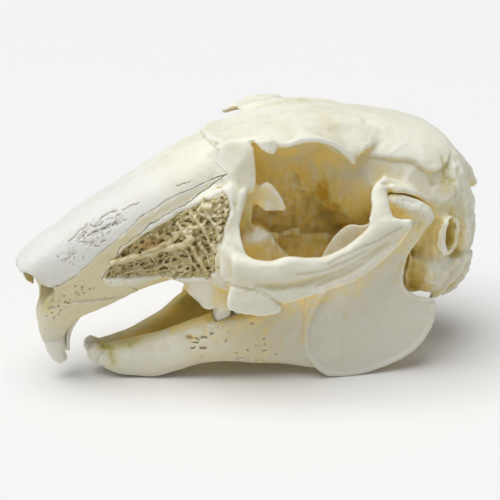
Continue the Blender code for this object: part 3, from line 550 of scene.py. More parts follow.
# %% Forms of the cheek
def cheek():
    """The maxilla where it flares from the snout to the front rim of the eye socket and the arch's root."""
    flare = loft_x([
        (-15.0, -5.0, 17.0, 27.0, 2.4), (-12.0, -6.2, 16.2, 29.6, 2.9), (-9.4, -7.6, 15.8, 30.6, 3.2),
        (-7.2, -9.0, 16.4, 31.4, 2.9), (-5.8, -9.9, 18.2, 31.0, 2.2),
    ], power=2.6, taper=-0.12)
    front_wall = leaf((-4.6, -7.9, 33.6), [
        (-8.0, -4.6, 35.8), (-4.6, -5.8, 38.0), (-2.8, -7.8, 38.2), (-2.0, -8.9, 37.2), (-1.6, -9.1, 33.7),
        (-1.8, -9.2, 31.9), (-2.1, -9.2, 30.4), (-3.1, -9.3, 30.3), (-3.9, -9.8, 28.4), (-7.2, -8.6, 28.2),
        (-8.4, -6.8, 32.0),
    ], 0.6, corners=True)
    far_wall = leaf((-4.6, 7.9, 33.2), [
        (-8.0, 4.6, 34.8), (-4.6, 5.8, 36.4), (-2.8, 7.8, 36.0), (-2.0, 8.9, 35.2), (-1.6, 9.1, 33.7),
        (-1.8, 9.2, 31.9), (-2.1, 9.2, 30.4), (-3.1, 9.3, 30.3), (-3.9, 9.8, 28.4), (-7.2, 8.6, 28.2),
        (-8.4, 6.8, 32.0),
    ], 0.6, corners=True)
    root_sheet = leaf((-5.9, -12.6, 23.8), [
        (-3.9, -9.9, 31.4), (-5.0, -10.6, 29.4), (-6.5, -11.3, 26.4), (-7.5, -12.1, 24.2),
        (-8.3, -12.9, 21.4), (-8.2, -13.5, 19.6), (-7.3, -14.0, 18.3), (-5.0, -14.7, 18.2),
        (-2.6, -15.0, 19.4), (-2.8, -14.9, 21.4), (-4.5, -14.0, 22.8), (-5.0, -12.9, 24.8),
        (-4.9, -12.0, 26.3), (-4.4, -11.0, 27.8), (-3.3, -10.0, 30.0),
    ], 0.55)
    root = loft_x([
        (-9.0, -10.4, 17.4, 23.4, 1.2), (-7.4, -12.0, 16.8, 24.0, 1.5), (-5.4, -13.4, 17.0, 23.0, 1.4),
        (-3.2, -14.6, 17.6, 22.0, 1.1),
    ], power=2.6)
    sockets = loft_x([
        (-11.8, -6.0, 14.6, 18.4, 1.9), (-9.6, -7.2, 12.9, 20.0, 2.9), (-6.0, -7.6, 12.25, 22.6, 3.2),
        (-2.6, -7.4, 12.3, 24.4, 3.2), (-0.8, -7.3, 12.5, 24.9, 3.1), (0.7, -7.1, 13.0, 24.0, 2.9),
        (1.9, -6.8, 13.2, 21.6, 2.6), (4.4, -6.0, 14.2, 18.8, 2.2),
    ], power=4.5)
    filling = ball((-5.7, -9.3, 29.4), (1.9, 1.5, 2.8))
    shelf = loft_path([
        (0.6, -7.6, 22.8, 0.7, 0.5), (3.4, -6.0, 22.2, 0.6, 0.45), (6.6, -3.6, 21.6, 0.7, 0.5),
    ])
    return [front_wall, far_wall, *both_sides(flare, root_sheet, root, sockets, shelf, filling)]


print("cheek forms:", len(cheek()))

# %% Forms between the eye sockets
def ring_on_wall(x, z, y, radius, half):
    """A raised ring: a thin rod carried round a slightly wavy circle that stands upright at a given y."""
    angle = np.linspace(0, 2 * math.pi, 17)
    wave = 1 + 0.12 * np.cos(3 * angle)
    path = [x + radius * wave * np.cos(angle), y + 0 * angle, z + 1.15 * radius * wave * np.sin(angle)]
    return loft_path(np.column_stack([*path, half + 0 * angle, half * wave]), points=16, steps=3)


def septum():
    """The wall between the eye sockets, widening into the front of the braincase, and its nerve openings."""
    openings = [(6.7, 29.6, -2.75, 0.85, 0.34), (11.5, 31.4, -4.0, 1.0, 0.34), (13.0, 25.2, -3.9, 0.9, 0.36)]
    wall = loft_z([
        (16.6, 0, -9.0, 3.0, 3.4), (20.0, 0, -9.0, 15.0, 2.6), (25.0, 0, -8.0, 17.0, 2.4),
        (30.0, 0, -7.0, 17.0, 2.8), (34.0, 0, -7.0, 17.0, 4.4), (37.4, 0, -7.0, 17.0, 7.2),
    ], power=3.4)
    return [*both_sides(*(ring_on_wall(*opening) for opening in openings)), wall]


print("forms between the sockets:", len(septum()))

# %% [markdown]
# ## The cheek arch
# The arch is a deep plate with a rounded upper rail, a hollow below it and a thin lower lip. A ragged spine
# hangs from its front and a broad pillar joins it to the braincase. The hollow could be cut out of a plain
# bar afterwards. Here each ring of the bar is already pressed in, so that the rail and the lip stay smooth.

# %% Forms of the arch
def blade(rows, hollow, points=64, steps=6):
    """Rings across X, as loft_x makes them, whose outer face is pressed in along a band below the middle.

    The half-width outwards is less by hollow times a bell curve of the height, so that a rounded rail stays
    above the band and a thin lip below it. Hollow is read along the rows as their sixth number.
    """
    r = read_rows(rows, steps)
    a, b = oval(2.6, points)
    press = hollow * r[:, 5:6] * np.exp(-(((b + 0.28) / 0.36) ** 2))
    x = r[:, 0:1] + 0 * a
    y = r[:, 1:2] + r[:, 4:5] * a * np.where(a < 0, 1 - press, 0.8)
    z = (r[:, 2:3] + r[:, 3:4]) / 2 + (r[:, 3:4] - r[:, 2:3]) / 2 * b
    return np.stack([x, y, z], -1)


def arch():
    """The arch's blade with its rail and lip, the ragged front spine and the pillar."""
    bar = blade([
        (-6.8, -13.7, 18.0, 22.8, 1.3, 0.0), (-4.0, -14.6, 17.0, 22.3, 1.3, 0.3),
        (-1.2, -15.1, 15.4, 21.9, 1.3, 1.0), (1.5, -15.4, 15.1, 22.4, 1.25, 1.1),
        (4.2, -15.6, 15.8, 21.9, 1.2, 1.0), (7.5, -15.9, 16.7, 22.2, 1.1, 0.9),
        (10.0, -16.2, 17.3, 23.4, 1.05, 0.7), (12.5, -16.4, 18.4, 25.4, 0.95, 0.5),
        (14.5, -16.5, 19.8, 26.9, 0.85, 0.4), (16.5, -16.6, 21.4, 27.2, 0.75, 0.3),
        (18.5, -16.7, 23.4, 26.9, 0.6, 0.2), (19.8, -16.8, 25.5, 26.8, 0.4, 0.0),
    ], 0.68)
    spine = leaf((-4.0, -15.2, 16.4), [
        (-7.1, -14.2, 18.9), (-7.5, -14.6, 17.2), (-7.8, -14.8, 15.8), (-7.1, -15.0, 15.0),
        (-5.5, -15.2, 14.5), (-4.0, -15.3, 14.1), (-1.9, -15.5, 13.8), (-0.6, -15.6, 13.7),
        (0.2, -15.6, 14.0), (0.4, -15.6, 14.6), (-0.9, -15.5, 15.2), (-2.2, -15.3, 16.6),
        (-3.2, -15.0, 18.2), (-5.0, -14.6, 19.0),
    ], 0.55, corners=True)
    spine_edge = loft_path([
        (-7.7, -14.9, 15.6, 0.3, 0.3), (-7.0, -15.2, 14.9, 0.35, 0.3), (-4.0, -15.6, 14.1, 0.35, 0.3),
        (-1.9, -15.8, 13.8, 0.35, 0.3), (0.2, -15.9, 14.1, 0.3, 0.3),
    ])
    pillar = loft_path([
        (19.4, -8.6, 30.0, 1.0, 0.9), (18.2, -10.4, 30.4, 1.0, 1.1), (16.9, -12.2, 30.4, 0.95, 1.3),
        (15.9, -13.7, 29.9, 0.8, 1.5), (15.5, -15.2, 28.4, 0.7, 1.5), (15.4, -16.3, 26.2, 0.75, 2.2),
        (15.6, -16.5, 24.6, 0.6, 2.1),
    ])
    web = ball((18.8, -10.7, 30.0), (3.0, 1.5, 1.7))
    return both_sides(bar, spine, spine_edge, pillar, web)


print("arch forms:", len(arch()))

# %% [markdown]
# ## The braincase and the back of the skull
# The braincase is a smooth egg with a root on each side for the arch. Behind it come the shield of the
# nape, the base, the side crests, and the two knobs on which the head turned. The inside of the egg follows
# the same rows a wall's thickness in, so the outside and the brain's room always fit.

# %% Forms of the braincase and the nape
def braincase_rows(inset=0.0):
    """The braincase's sections from front to back, or those of its inside, a wall's thickness in."""
    rows = [
        (4.6, 0, 29.0, 38.8, 2.6), (8.0, 0, 26.0, 39.2, 4.4), (12.0, 0, 22.4, 39.7, 7.2),
        (15.0, 0, 19.8, 39.4, 9.4), (18.5, 0, 18.0, 38.95, 11.5), (22.5, 0, 16.6, 38.15, 12.2),
        (26.5, 0, 15.2, 37.1, 12.2), (30.0, 0, 13.8, 35.5, 11.0), (32.6, 0, 12.8, 32.7, 8.6),
        (34.8, 0, 14.4, 29.1, 5.4),
    ]
    if inset:
        rows = [(x, y, low + 2 * inset, high - inset, half - inset) for x, y, low, high, half in rows[2:-1]]
    return rows


def braincase():
    """The egg of the braincase, the root that its side sends to the arch, and the nape's shield."""
    shelf = leaf((20.6, -11.6, 31.0), [
        (17.6, -9.6, 32.4), (17.2, -12.4, 31.2), (18.1, -13.5, 29.9), (19.9, -13.3, 29.5),
        (22.2, -13.0, 28.6), (23.6, -12.6, 27.9), (24.9, -12.0, 27.0), (26.6, -11.0, 28.4),
        (26.0, -10.8, 31.4), (22.0, -10.8, 33.0), (18.8, -9.4, 33.0),
    ], 0.8)
    shield = loft_path([
        (29.6, 0, 33.5, 6.0, 1.4), (32.4, 0, 30.9, 5.2, 1.4), (35.0, 0, 27.9, 3.6, 1.3),
        (37.1, 0, 25.4, 2.0, 0.8),
    ], power=2.8)
    return [loft_x(braincase_rows(), power=2.5, taper=0.05), shield, *both_sides(shelf)]


def nape():
    """The back of the skull: its two knobs, the base, the side crests and the processes behind the ears."""
    block = loft_z([
        (9.6, 0, 30.0, 33.6, 4.6), (12.5, 0, 26.0, 34.8, 7.0), (16.0, 0, 23.0, 36.0, 8.6),
        (20.0, 0, 23.0, 36.5, 9.4), (24.0, 0, 24.0, 36.0, 9.4), (28.0, 0, 26.0, 34.6, 8.8),
    ], power=2.4)
    base = loft_x([
        (3.0, 0, 18.6, 21.4, 1.8), (10.0, 0, 18.0, 21.0, 2.0), (18.0, 0, 15.6, 19.0, 2.8),
        (26.0, 0, 12.2, 16.0, 4.0), (33.0, 0, 8.8, 13.0, 4.4),
    ], power=2.6)
    knob = loft_path([
        (31.0, -2.9, 8.8, 1.6, 1.4), (32.4, -3.5, 10.0, 1.9, 1.6), (33.7, -4.4, 12.5, 1.8, 1.6),
        (34.4, -5.0, 15.8, 1.6, 1.3),
    ])
    crest = loft_path([
        (29.8, -7.6, 33.2, 0.9, 1.0), (30.4, -9.2, 29.6, 1.0, 1.0), (31.2, -9.8, 25.0, 1.0, 1.0),
        (31.9, -9.4, 20.0, 1.0, 1.0), (31.8, -8.8, 16.0, 0.9, 1.1), (30.4, -8.4, 12.6, 0.9, 1.2),
    ])
    jugular = loft_z([
        (9.8, -8.6, 26.9, 28.6, 0.8), (13.0, -8.8, 27.8, 31.4, 1.2), (17.0, -8.8, 28.4, 33.6, 1.8),
    ], power=2.4)
    return [block, base, *both_sides(knob, crest, jugular)]


print("braincase and nape forms:", len(braincase()) + len(nape()))

# %% [markdown]
# ## The ear and the palate
# Under the braincase sits the bulla, the round shell of the middle ear, and from it a bony tube rises
# outwards and ends in a thick, uneven lip. The lip could be a plain ring. It is a rod carried round a wavy
# loop whose thickness swells on one side, because the real one is broken and heavier behind.

# %% Forms of the ear and the palate
def ear():
    """The bulla, the tube that rises from it and the thick lip round the tube's mouth."""
    tube = loft_y([
        (-8.0, 26.2, 18.6, 2.6, 3.4), (-10.4, 26.9, 20.4, 2.2, 3.2), (-12.2, 27.4, 21.7, 2.1, 3.3),
        (-13.0, 27.7, 22.1, 1.8, 3.1),
    ])
    angle = np.radians(np.linspace(0, 360, 25))
    swell = 0.92 + 0.5 * np.cos(angle - 3.9) + 0.14 * np.sin(3 * angle)
    lip = np.column_stack([
        27.8 + 1.55 * np.cos(angle) + 0.12 * np.sin(3 * angle + 1.0),
        -12.9 + 0.7 * np.cos(angle) - 0.35 * np.sin(angle) + 0.2 * np.cos(2 * angle + 1.0),
        22.2 + 2.9 * np.sin(angle) + 0.25 * np.cos(angle) + 0.12 * np.cos(4 * angle),
        0.5 * swell,
        0.55 * swell,
    ])
    rod = loft_path([
        (24.4, -9.2, 11.6, 0.5, 0.5), (24.6, -10.2, 13.0, 0.45, 0.5), (25.2, -10.8, 15.0, 0.4, 0.5),
        (26.4, -11.2, 17.6, 0.5, 0.6),
    ])
    wisp = loft_path([
        (22.6, -8.4, 12.2, 0.3, 0.4), (22.6, -9.4, 13.6, 0.35, 0.35), (22.2, -9.8, 15.0, 0.3, 0.4),
        (22.9, -9.8, 17.0, 0.35, 0.35), (22.8, -9.6, 19.4, 0.4, 0.4),
    ])
    bulla = [ball((26.4, -8.4, 15.4), (3.5, 3.6, 4.4)), ball((25.0, -6.8, 15.2), (3.8, 3.0, 4.6))]
    return both_sides(*bulla, tube, loft_path(lip, points=20), rod, wisp)


def palate():
    """The short bridge between the cheek teeth, and the wings beside the inner nostrils."""
    bridge = loft_x(
        [(-8.4, 0, 15.0, 18.4, 5.4), (-6.0, 0, 14.8, 18.6, 6.0), (-1.6, 0, 15.0, 18.6, 6.0)],
        power=3.0,
    )
    wing = loft_x([
        (-2.4, -4.0, 15.0, 20.6, 1.0), (3.0, -3.4, 15.0, 21.0, 0.8), (8.0, -3.4, 13.6, 21.0, 0.7),
        (12.0, -3.8, 12.4, 20.6, 0.7), (15.4, -4.2, 12.6, 19.0, 0.6), (17.4, -4.4, 14.6, 17.6, 0.5),
    ], power=2.6)
    return [bridge, *both_sides(wing)]


print("ear and palate forms:", len(ear()) + len(palate()))

# %% [markdown]
# ## The hollows
# Air passes through a skull: in at the nose, through two long slots in front of the palate, and through the
# ear tubes. The brain's room opens at the back. Each hollow is a form of its own, and what it fills is cut
# away. WALL is the braincase's thickness, and FIT is the room round a tooth in its socket.

# %% Forms of the hollows
WALL = 1.6
FIT = 0.1


def nose_passage():
    """The nasal passage, a thin wall inside the snout's own surface, and the two slots below it."""
    passage = loft_x([
        (-40.0, 0, 12.0, 18.4, 2.9), (-35.4, 0, 12.2, 19.2, 3.0), (-33.2, 0, 12.7, 21.2, 3.5),
        (-31.4, 0, 14.2, 22.4, 3.8), (-29.6, 0, 15.6, 23.6, 3.9), (-26.0, 0, 16.6, 25.6, 4.2),
        (-22.0, 0, 18.8, 27.4, 4.0), (-19.0, 0, 21.6, 27.4, 2.4),
    ], power=2.4)
    slot = loft_x([
        (-24.0, -1.3, 11.0, 16.0, 0.6), (-20.0, -1.6, 11.6, 17.0, 1.0), (-15.0, -2.0, 12.6, 18.4, 1.4),
        (-11.0, -2.4, 13.0, 18.6, 1.4), (-8.6, -2.6, 13.0, 17.6, 1.0),
    ], power=2.4)
    return [passage, *both_sides(slot)]


def ear_bore():
    """The mouth of the ear tube, wider outwards."""
    bore = loft_y([
        (-9.8, 27.0, 20.4, 0.7, 1.6), (-11.6, 27.4, 21.6, 0.9, 2.1), (-13.0, 27.8, 22.2, 1.1, 2.5),
        (-15.5, 28.2, 22.8, 1.4, 2.9),
    ])
    return both_sides(bore)


def brain_room():
    """The inside of the braincase, and the foramen through which it opens at the back."""
    foramen = loft_path([
        (26.0, 0, 18.6, 3.2, 2.9), (32.0, 0, 17.6, 3.4, 3.0), (36.0, 0, 17.0, 3.5, 3.0),
        (41.0, 0, 16.6, 3.6, 3.1),
    ], power=2.3)
    return [loft_x(braincase_rows(WALL), power=2.4, taper=0.05), foramen]


print("hollows:", len(nose_passage()) + len(ear_bore()) + len(brain_room()))

# %% [markdown]
# ## The teeth
# A rabbit's front teeth are curved rods that grow all through its life, and a small peg stands right behind
# each upper one. Cheek teeth are tall columns folded from enamel, and each is worn to a sloping face. A
# tooth is one surface: the profile of its cross-section carried from root to tip. A cheek tooth's table
# gives its middle along X, its length along X and its width, and a front tooth's gives rows for loft_path.

# %% Tables of the teeth
UPPER_TEETH = {
    "p2": (-8.9, 1.5, 2.6),
    "p3": (-6.9, 1.9, 3.7),
    "p4": (-4.6, 2.0, 3.9),
    "m1": (-2.3, 2.0, 3.9),
    "m2": (0.0, 2.0, 3.6),
    "m3": (2.0, 1.3, 2.0),
}
LOWER_TEETH = {
    "p3": (-6.4, 2.5, 2.7),
    "p4": (-3.7, 2.2, 2.9),
    "m1": (-1.2, 2.2, 2.9),
    "m2": (1.3, 2.2, 2.8),
    "m3": (3.5, 1.5, 1.9),
}
UPPER_ROW_Y, LOWER_ROW_Y = -7.3, -6.9
UPPER_ROOT, LOWER_ROOT = 16.5, 7.9
UPPER_CROWN, LOWER_CROWN = 12.7, 12.25
WEAR_SLOPE = 0.25
UPPER_INCISOR = [
    (-28.4, -1.75, 13.4, 1.05, 1.1), (-30.5, -1.65, 11.0, 1.1, 1.35), (-31.45, -1.5, 8.6, 1.15, 1.5),
    (-31.3, -1.4, 6.4, 1.15, 1.55), (-31.05, -1.35, 4.9, 1.1, 1.3), (-30.45, -1.35, 3.4, 1.05, 0.85),
]
PEG = [
    (-27.6, -1.6, 10.6, 0.5, 0.4), (-28.95, -1.5, 8.6, 0.6, 0.42), (-29.38, -1.4, 6.6, 0.6, 0.34),
    (-29.42, -1.35, 5.0, 0.5, 0.28),
]
LOWER_INCISOR = [
    (-19.4, -1.75, 2.6, 1.0, 1.1), (-22.0, -1.65, 2.6, 1.1, 1.3), (-24.0, -1.5, 3.2, 1.15, 1.5),
    (-25.2, -1.4, 4.1, 1.15, 1.35), (-25.8, -1.35, 5.0, 1.05, 0.8),
]


def sockets_for(teeth, y, low, high):
    """A socket for each tooth of a row: a column a little wider than the tooth."""
    sockets = []
    for x, length, width in teeth.values():
        reach = length / 2 + FIT
        rows = [(z, y, x - reach, x + reach, width / 2 + FIT) for z in (low, high)]
        sockets.append(loft_z(rows, power=9.0, points=32, steps=1))
    return sockets


# %% [markdown]
# ## The lower jaw
# Each half of the lower jaw is a bar that carries the teeth. Behind them it spreads into a thin round plate
# with a raised rim, where the chewing muscle held, and from the plate a narrow neck rises to the jaw's
# head. The plate is a leaf like the wings of the brow, and fine rods along its edge give it the rim. HEAD
# also shapes the hollow in the cranium in which the head turns.

# %% Forms of the lower jaw
HEAD = [
    (15.9, -13.0, 27.6, 0.8, 1.0), (18.0, -13.2, 28.1, 1.4, 1.55), (20.6, -13.4, 27.4, 1.4, 1.55),
    (23.0, -13.5, 26.2, 1.3, 1.4), (24.1, -13.5, 24.8, 0.9, 1.0),
]


def jaw_forms():
    """The left half: its bar, gum, plate with the neck, rim and head."""
    bar = loft_x([
        (-24.9, -1.6, 2.6, 4.8, 1.3), (-23.6, -1.7, 1.5, 5.0, 1.6), (-21.8, -1.9, 0.6, 5.3, 1.9),
        (-19.0, -2.3, 0.1, 5.8, 2.1), (-16.8, -3.0, 0.0, 6.4, 2.3), (-13.5, -4.1, 1.1, 7.5, 2.4),
        (-10.5, -5.4, 2.4, 9.0, 2.5), (-7.0, -6.5, 3.0, 10.4, 2.7), (-2.0, -7.2, 2.4, 11.0, 2.9),
        (3.0, -8.2, 1.9, 12.4, 2.8), (7.0, -9.8, 1.4, 13.8, 1.7), (11.0, -11.4, 1.6, 15.4, 0.8),
    ], power=2.3, lean=0.6)
    gum = loft_x([
        (-9.2, -6.2, 5.0, 9.6, 1.9), (-7.5, -6.7, 5.0, 10.2, 2.4), (-4.6, -6.9, 5.0, 10.9, 2.6),
        (0.0, -6.9, 5.0, 11.4, 2.6), (4.0, -6.9, 5.0, 11.6, 2.3), (6.0, -7.4, 5.0, 11.8, 1.6),
    ], power=4.0)
    plate = leaf((13.6, -12.0, 11.0), [
        (5.7, -10.4, 12.4), (5.2, -10.9, 9.7), (5.1, -11.1, 7.0), (5.3, -11.2, 5.3), (6.0, -11.3, 3.7),
        (7.5, -11.5, 1.9), (8.7, -11.6, 0.6), (9.4, -11.7, 0.1), (12.3, -11.9, -0.1), (15.0, -12.1, 0.2),
        (17.7, -12.3, 0.9), (20.0, -12.5, 1.7), (22.2, -12.7, 2.9), (24.0, -12.9, 4.5), (25.2, -13.0, 6.2),
        (25.8, -13.1, 8.4), (26.1, -13.1, 10.6), (25.8, -13.1, 11.6), (24.6, -13.0, 11.9),
        (22.6, -12.9, 12.4), (21.2, -12.7, 13.1), (20.3, -12.6, 14.2), (20.0, -12.4, 15.6),
        (20.1, -12.4, 17.4), (20.9, -12.6, 20.0), (22.0, -12.8, 22.0), (23.6, -13.2, 23.6),
        (23.8, -13.4, 25.4), (21.0, -13.4, 27.4), (17.2, -13.0, 27.4), (14.7, -12.0, 24.8),
        (12.4, -11.4, 24.8), (11.0, -11.0, 24.0), (9.4, -10.6, 22.0), (8.2, -10.4, 19.6),
        (7.2, -10.2, 16.0),
    ], 0.42, rim=0.12)
    front_ridge = loft_path([
        (9.6, -11.2, 15.4, 0.3, 0.4), (7.6, -11.25, 13.0, 0.4, 0.5), (6.1, -11.4, 10.4, 0.45, 0.5),
        (5.6, -11.5, 7.4, 0.5, 0.5), (6.0, -11.6, 4.6, 0.5, 0.5), (7.5, -11.8, 2.2, 0.5, 0.5),
        (9.2, -11.9, 0.7, 0.5, 0.5),
    ])
    hem = loft_path([
        (9.2, -11.8, 0.7, 0.55, 0.5), (12.4, -12.0, 0.4, 0.55, 0.5), (15.2, -12.3, 0.7, 0.5, 0.5),
        (19.4, -12.7, 2.0, 0.45, 0.5), (23.2, -13.1, 4.4, 0.45, 0.5), (25.2, -13.3, 8.0, 0.45, 0.55),
        (25.4, -13.3, 10.8, 0.45, 0.55),
    ])
    edge = loft_path([
        (25.2, -13.2, 11.6, 0.5, 0.4), (22.6, -13.1, 12.4, 0.5, 0.4), (20.6, -12.8, 14.0, 0.5, 0.4),
        (20.2, -12.7, 16.6, 0.45, 0.4), (20.9, -12.8, 19.8, 0.45, 0.4), (22.2, -13.1, 22.2, 0.6, 0.5),
        (23.0, -13.4, 24.4, 0.9, 0.8),
    ])
    hook = loft_path([
        (16.4, -13.1, 28.0, 0.7, 0.6), (17.2, -13.5, 28.9, 0.6, 0.5), (18.4, -13.6, 29.0, 0.5, 0.4),
    ])
    heel = ball((23.4, -13.5, 25.2), (1.2, 1.1, 1.1), rings=9, points=20)
    return [bar, gum, plate, front_ridge, hem, edge, loft_path(HEAD), hook, heel]


print("jaw forms:", len(jaw_forms()))

# %% [markdown]
# ## Sutures
# The nasal bones meet their neighbours along fine open cracks. Each crack is a line seen from the side. A
# block with that line as its edge, as wide as the skull, divides the snout: what is inside one block is
# nasal bone, what is inside the other is the bone of the front teeth, and a hair's breadth is left between
# them. The tips of the nose are ragged, and the far one reaches lower than the near one.

# %% Lines of the sutures, seen from the side
CRACK = 0.06
REAR_OVERLAP = 0.12
NASAL_EDGE = [
    (-33.9, 18.2), (-32.9, 17.3), (-32.0, 16.9), (-30.5, 17.2), (-27.5, 19.3), (-24.4, 22.2), (-21.3, 24.6),
    (-18.4, 27.2), (-15.4, 29.2), (-12.4, 30.7), (-9.3, 31.9), (-5.8, 33.3),
]
MAXILLA_EDGE = [
    (-5.8, 33.3), (-9.5, 30.7), (-12.5, 28.8), (-15.6, 27.0), (-18.6, 25.2), (-21.7, 22.7), (-23.0, 20.1),
    (-24.5, 17.8), (-22.9, 16.7), (-20.4, 16.4),
]


def block_of(name, outline, left=-22.0, right=22.0):
    """A solid whose side view is a closed outline, and which reaches from left to right across the skull."""
    outline = np.array(outline, float)
    n = len(outline)
    flat = np.column_stack([outline[:, 0], np.zeros(n), outline[:, 1]])
    points = np.vstack([flat + (0, left, 0), flat + (0, right, 0)])
    i = np.arange(n)
    sides = np.stack([i, np.roll(i, -1), np.roll(i, -1) + n, i + n], -1)
    area = np.sum(outline[:, 0] * np.roll(outline[:, 1], -1) - np.roll(outline[:, 0], -1) * outline[:, 1])
    faces = [i[None, :], (i[::-1] + n)[None, :], sides[:, ::-1]]
    if area < 0:
        faces = [f[:, ::-1] for f in faces]
    return add_mesh(name, points, faces)


nasal_edge = wandered(NASAL_EDGE, 0.35, 0.10, 11)
maxilla_edge = wandered(MAXILLA_EDGE, 0.3, 0.16, 23)
nasal_rear = wandered([(-5.8, 33.3), (-7.2, 34.8), (-6.6, 36.2), (-8.4, 38.6)], 0.3, 0.25, 31)
FAR_TIP = [
    (-33.3, 17.2), (-33.4, 15.6), (-33.5, 14.6), (-33.9, 14.7), (-34.5, 15.2), (-34.9, 16.0), (-35.2, 16.9),
    (-35.9, 17.6), (-38.0, 17.8),
]
NEAR_TIP = [
    (-33.45, 17.2), (-33.7, 17.7), (-34.0, 18.4), (-34.3, 18.9), (-34.9, 19.2), (-35.6, 19.3),
    (-35.85, 18.9), (-36.1, 19.1), (-38.0, 19.2),
]
rear_edge = nasal_edge[nasal_edge[:, 0] > FAR_TIP[0][0]]
NASAL_OUTLINE = np.vstack([
    rear_edge + (0, CRACK),
    nasal_rear[1:] + (REAR_OVERLAP, 0.0),
    [(-11.9, 45.0), (-40.0, 45.0)],
    FAR_TIP[::-1],
])
NEAR_NOTCH = np.vstack([NEAR_TIP, [(-38.0, 10.0), (-33.45, 10.0)]])
FRONT_OUTLINE = np.vstack([
    nasal_edge[::-1][:-8] - (0, CRACK),
    [
        (-31.3, 16.0), (-32.2, 15.1), (-32.7, 14.4), (-32.7, 13.4), (-33.2, 12.4), (-33.7, 11.6),
        (-34.6, 2.0), (-17.0, 2.0), (-18.6, 14.5),
    ],
    maxilla_edge[::-1] + (-CRACK, CRACK * 0.5),
])
BOTH_OUTLINE = np.vstack([
    nasal_rear[::-1],
    maxilla_edge + (CRACK, -CRACK),
    [(-18.0, 14.3), (-16.0, 2.0), (-45.0, 2.0), (-45.0, 45.0), (-11.9, 45.0)],
])
suture_length = np.linalg.norm(np.diff(nasal_edge, axis=0), axis=1).sum()
print("nasal suture in mm:", round(float(suture_length), 1))

# %% [markdown]
# ## Fuse the bones
# The cranium is fused from all its forms. The nasal bones and the front bones are cut from the same snout,
# fused again on finer cubes because their pits and pores are small. The finer the cubes, the more triangles
# there are, so what hardly shows gets coarse ones.

# %% Fuse the cranium and cut its hollows
CRANIUM_CUBE = 0.345
HIDDEN_CUBE = 0.42
TOOL_CUBE = 0.28
SNOUT_CUBE = 0.145
SEAT_ROOM = 0.32
SOCKET_FLOOR = 10.0


def fused_tool(name, shells, voxel=TOOL_CUBE):
    """A hollow's forms fused into one closed tool, on coarser cubes where hardly anything of it shows."""
    return fused(name, shells, voxel, rounds=2)


snout_forms = [*snout(), *cheek(), *brow()]
rear_forms = [*septum(), *arch(), *braincase(), *nape(), *ear(), *palate()]
cranium = fused("cranium", [*snout_forms, *rear_forms], CRANIUM_CUBE)
print("cranium fused:", triangles_in(cranium), "triangles")
jaw_seat = both_sides(loft_path(grown(HEAD, SEAT_ROOM)))
cheek_sockets = both_sides(*sockets_for(UPPER_TEETH, UPPER_ROW_Y, SOCKET_FLOOR, UPPER_ROOT + FIT))
hidden_forms = [*nose_passage(), *ear_bore(), *brain_room(), *jaw_seat]
combine(cranium, fused_tool("hollows", hidden_forms, HIDDEN_CUBE))
combine(cranium, add_shells("cheek_sockets", cheek_sockets))
combine(cranium, block_of("front_block", BOTH_OUTLINE))
print("cranium cut:", triangles_in(cranium), "triangles")

# %% Cut the nasal bones and the front bones
front_sockets = both_sides(loft_path(grown(UPPER_INCISOR, FIT)), loft_path(grown(PEG, FIT)))
nasals = fused("nasal_bones", snout_forms, SNOUT_CUBE)
front_bones = bpy.data.objects.new("front_bones", nasals.data.copy())
bpy.context.scene.collection.objects.link(front_bones)
combine(nasals, block_of("nasal_block", NASAL_OUTLINE), "INTERSECT")
combine(nasals, block_of("near_notch", NEAR_NOTCH, right=0.3))
combine(nasals, fused_tool("passage", nose_passage()))
combine(front_bones, block_of("front_block", FRONT_OUTLINE), "INTERSECT")
combine(front_bones, fused_tool("passage", nose_passage()))
combine(front_bones, fused_tool("front_sockets", front_sockets))
print("nasal bones:", triangles_in(nasals), "front bones:", triangles_in(front_bones))

# %% [markdown]
# ## Hollows and ridges as numbers
# The colour is painted darker in hollows and lighter on ridges. This is partly painted shade and light and
# partly the dirt and fat that old bone keeps in its hollows and the rubbed whiteness of its ridges. To know
# which is which, each point is compared with the middle of its wide neighbourhood: below it is a hollow,
# above it a ridge. The result is kept on the mesh as an attribute, and the material reads it.

# %% Attributes on the points
def neighbours(piece):
    """The two ends of every edge, and how many edges meet at each point."""
    ends = np.empty(len(piece.data.edges) * 2, np.int32)
    piece.data.edges.foreach_get("vertices", ends)
    ends = ends.reshape(-1, 2)
    return ends, np.maximum(np.bincount(ends.ravel(), minlength=len(piece.data.vertices)), 1)


def spread(values, ends, count, rounds):
    """Each value becomes the mean of its own and its neighbours' mean, a number of times over."""
    values = np.array(values, float)
    for _ in range(rounds):
        total = np.bincount(ends[:, 0], values[ends[:, 1]], len(count))
        total = total + np.bincount(ends[:, 1], values[ends[:, 0]], len(count))
        values = (values + total / count) / 2
    return values


def relief(piece, rounds):
    """Height of each point over the middle of its neighbourhood, in millimetres, along the normal."""
    points, normals = points_of(piece), normals_of(piece)
    ends, count = neighbours(piece)
    middle = np.column_stack([spread(points[:, k], ends, count, rounds) for k in range(3)])
    return np.sum((points - middle) * normals, axis=1)


def keep_attribute(piece, name, values):
    """Stores one number for each point of the mesh, where the material can read it."""
    layer = piece.data.attributes.get(name) or piece.data.attributes.new(name, "FLOAT", "POINT")
    layer.data.foreach_set("value", np.clip(values, 0, 1).astype(np.float32))


# %% [markdown]
# ## The surface of the cranium
# The fused skin is smooth, so the finer shapes are pushed into it: the side of the snout is sunk where the
# lattice will lie, sutures and creases are cut as fine lines, and everything gets a slight unevenness. The
# lines are seen from the side. Rough bone lies in regions, boxes with soft edges, which are stated once by
# where they start and where they end. A painted displacement map would do the same, but numbers can be read
# and changed.

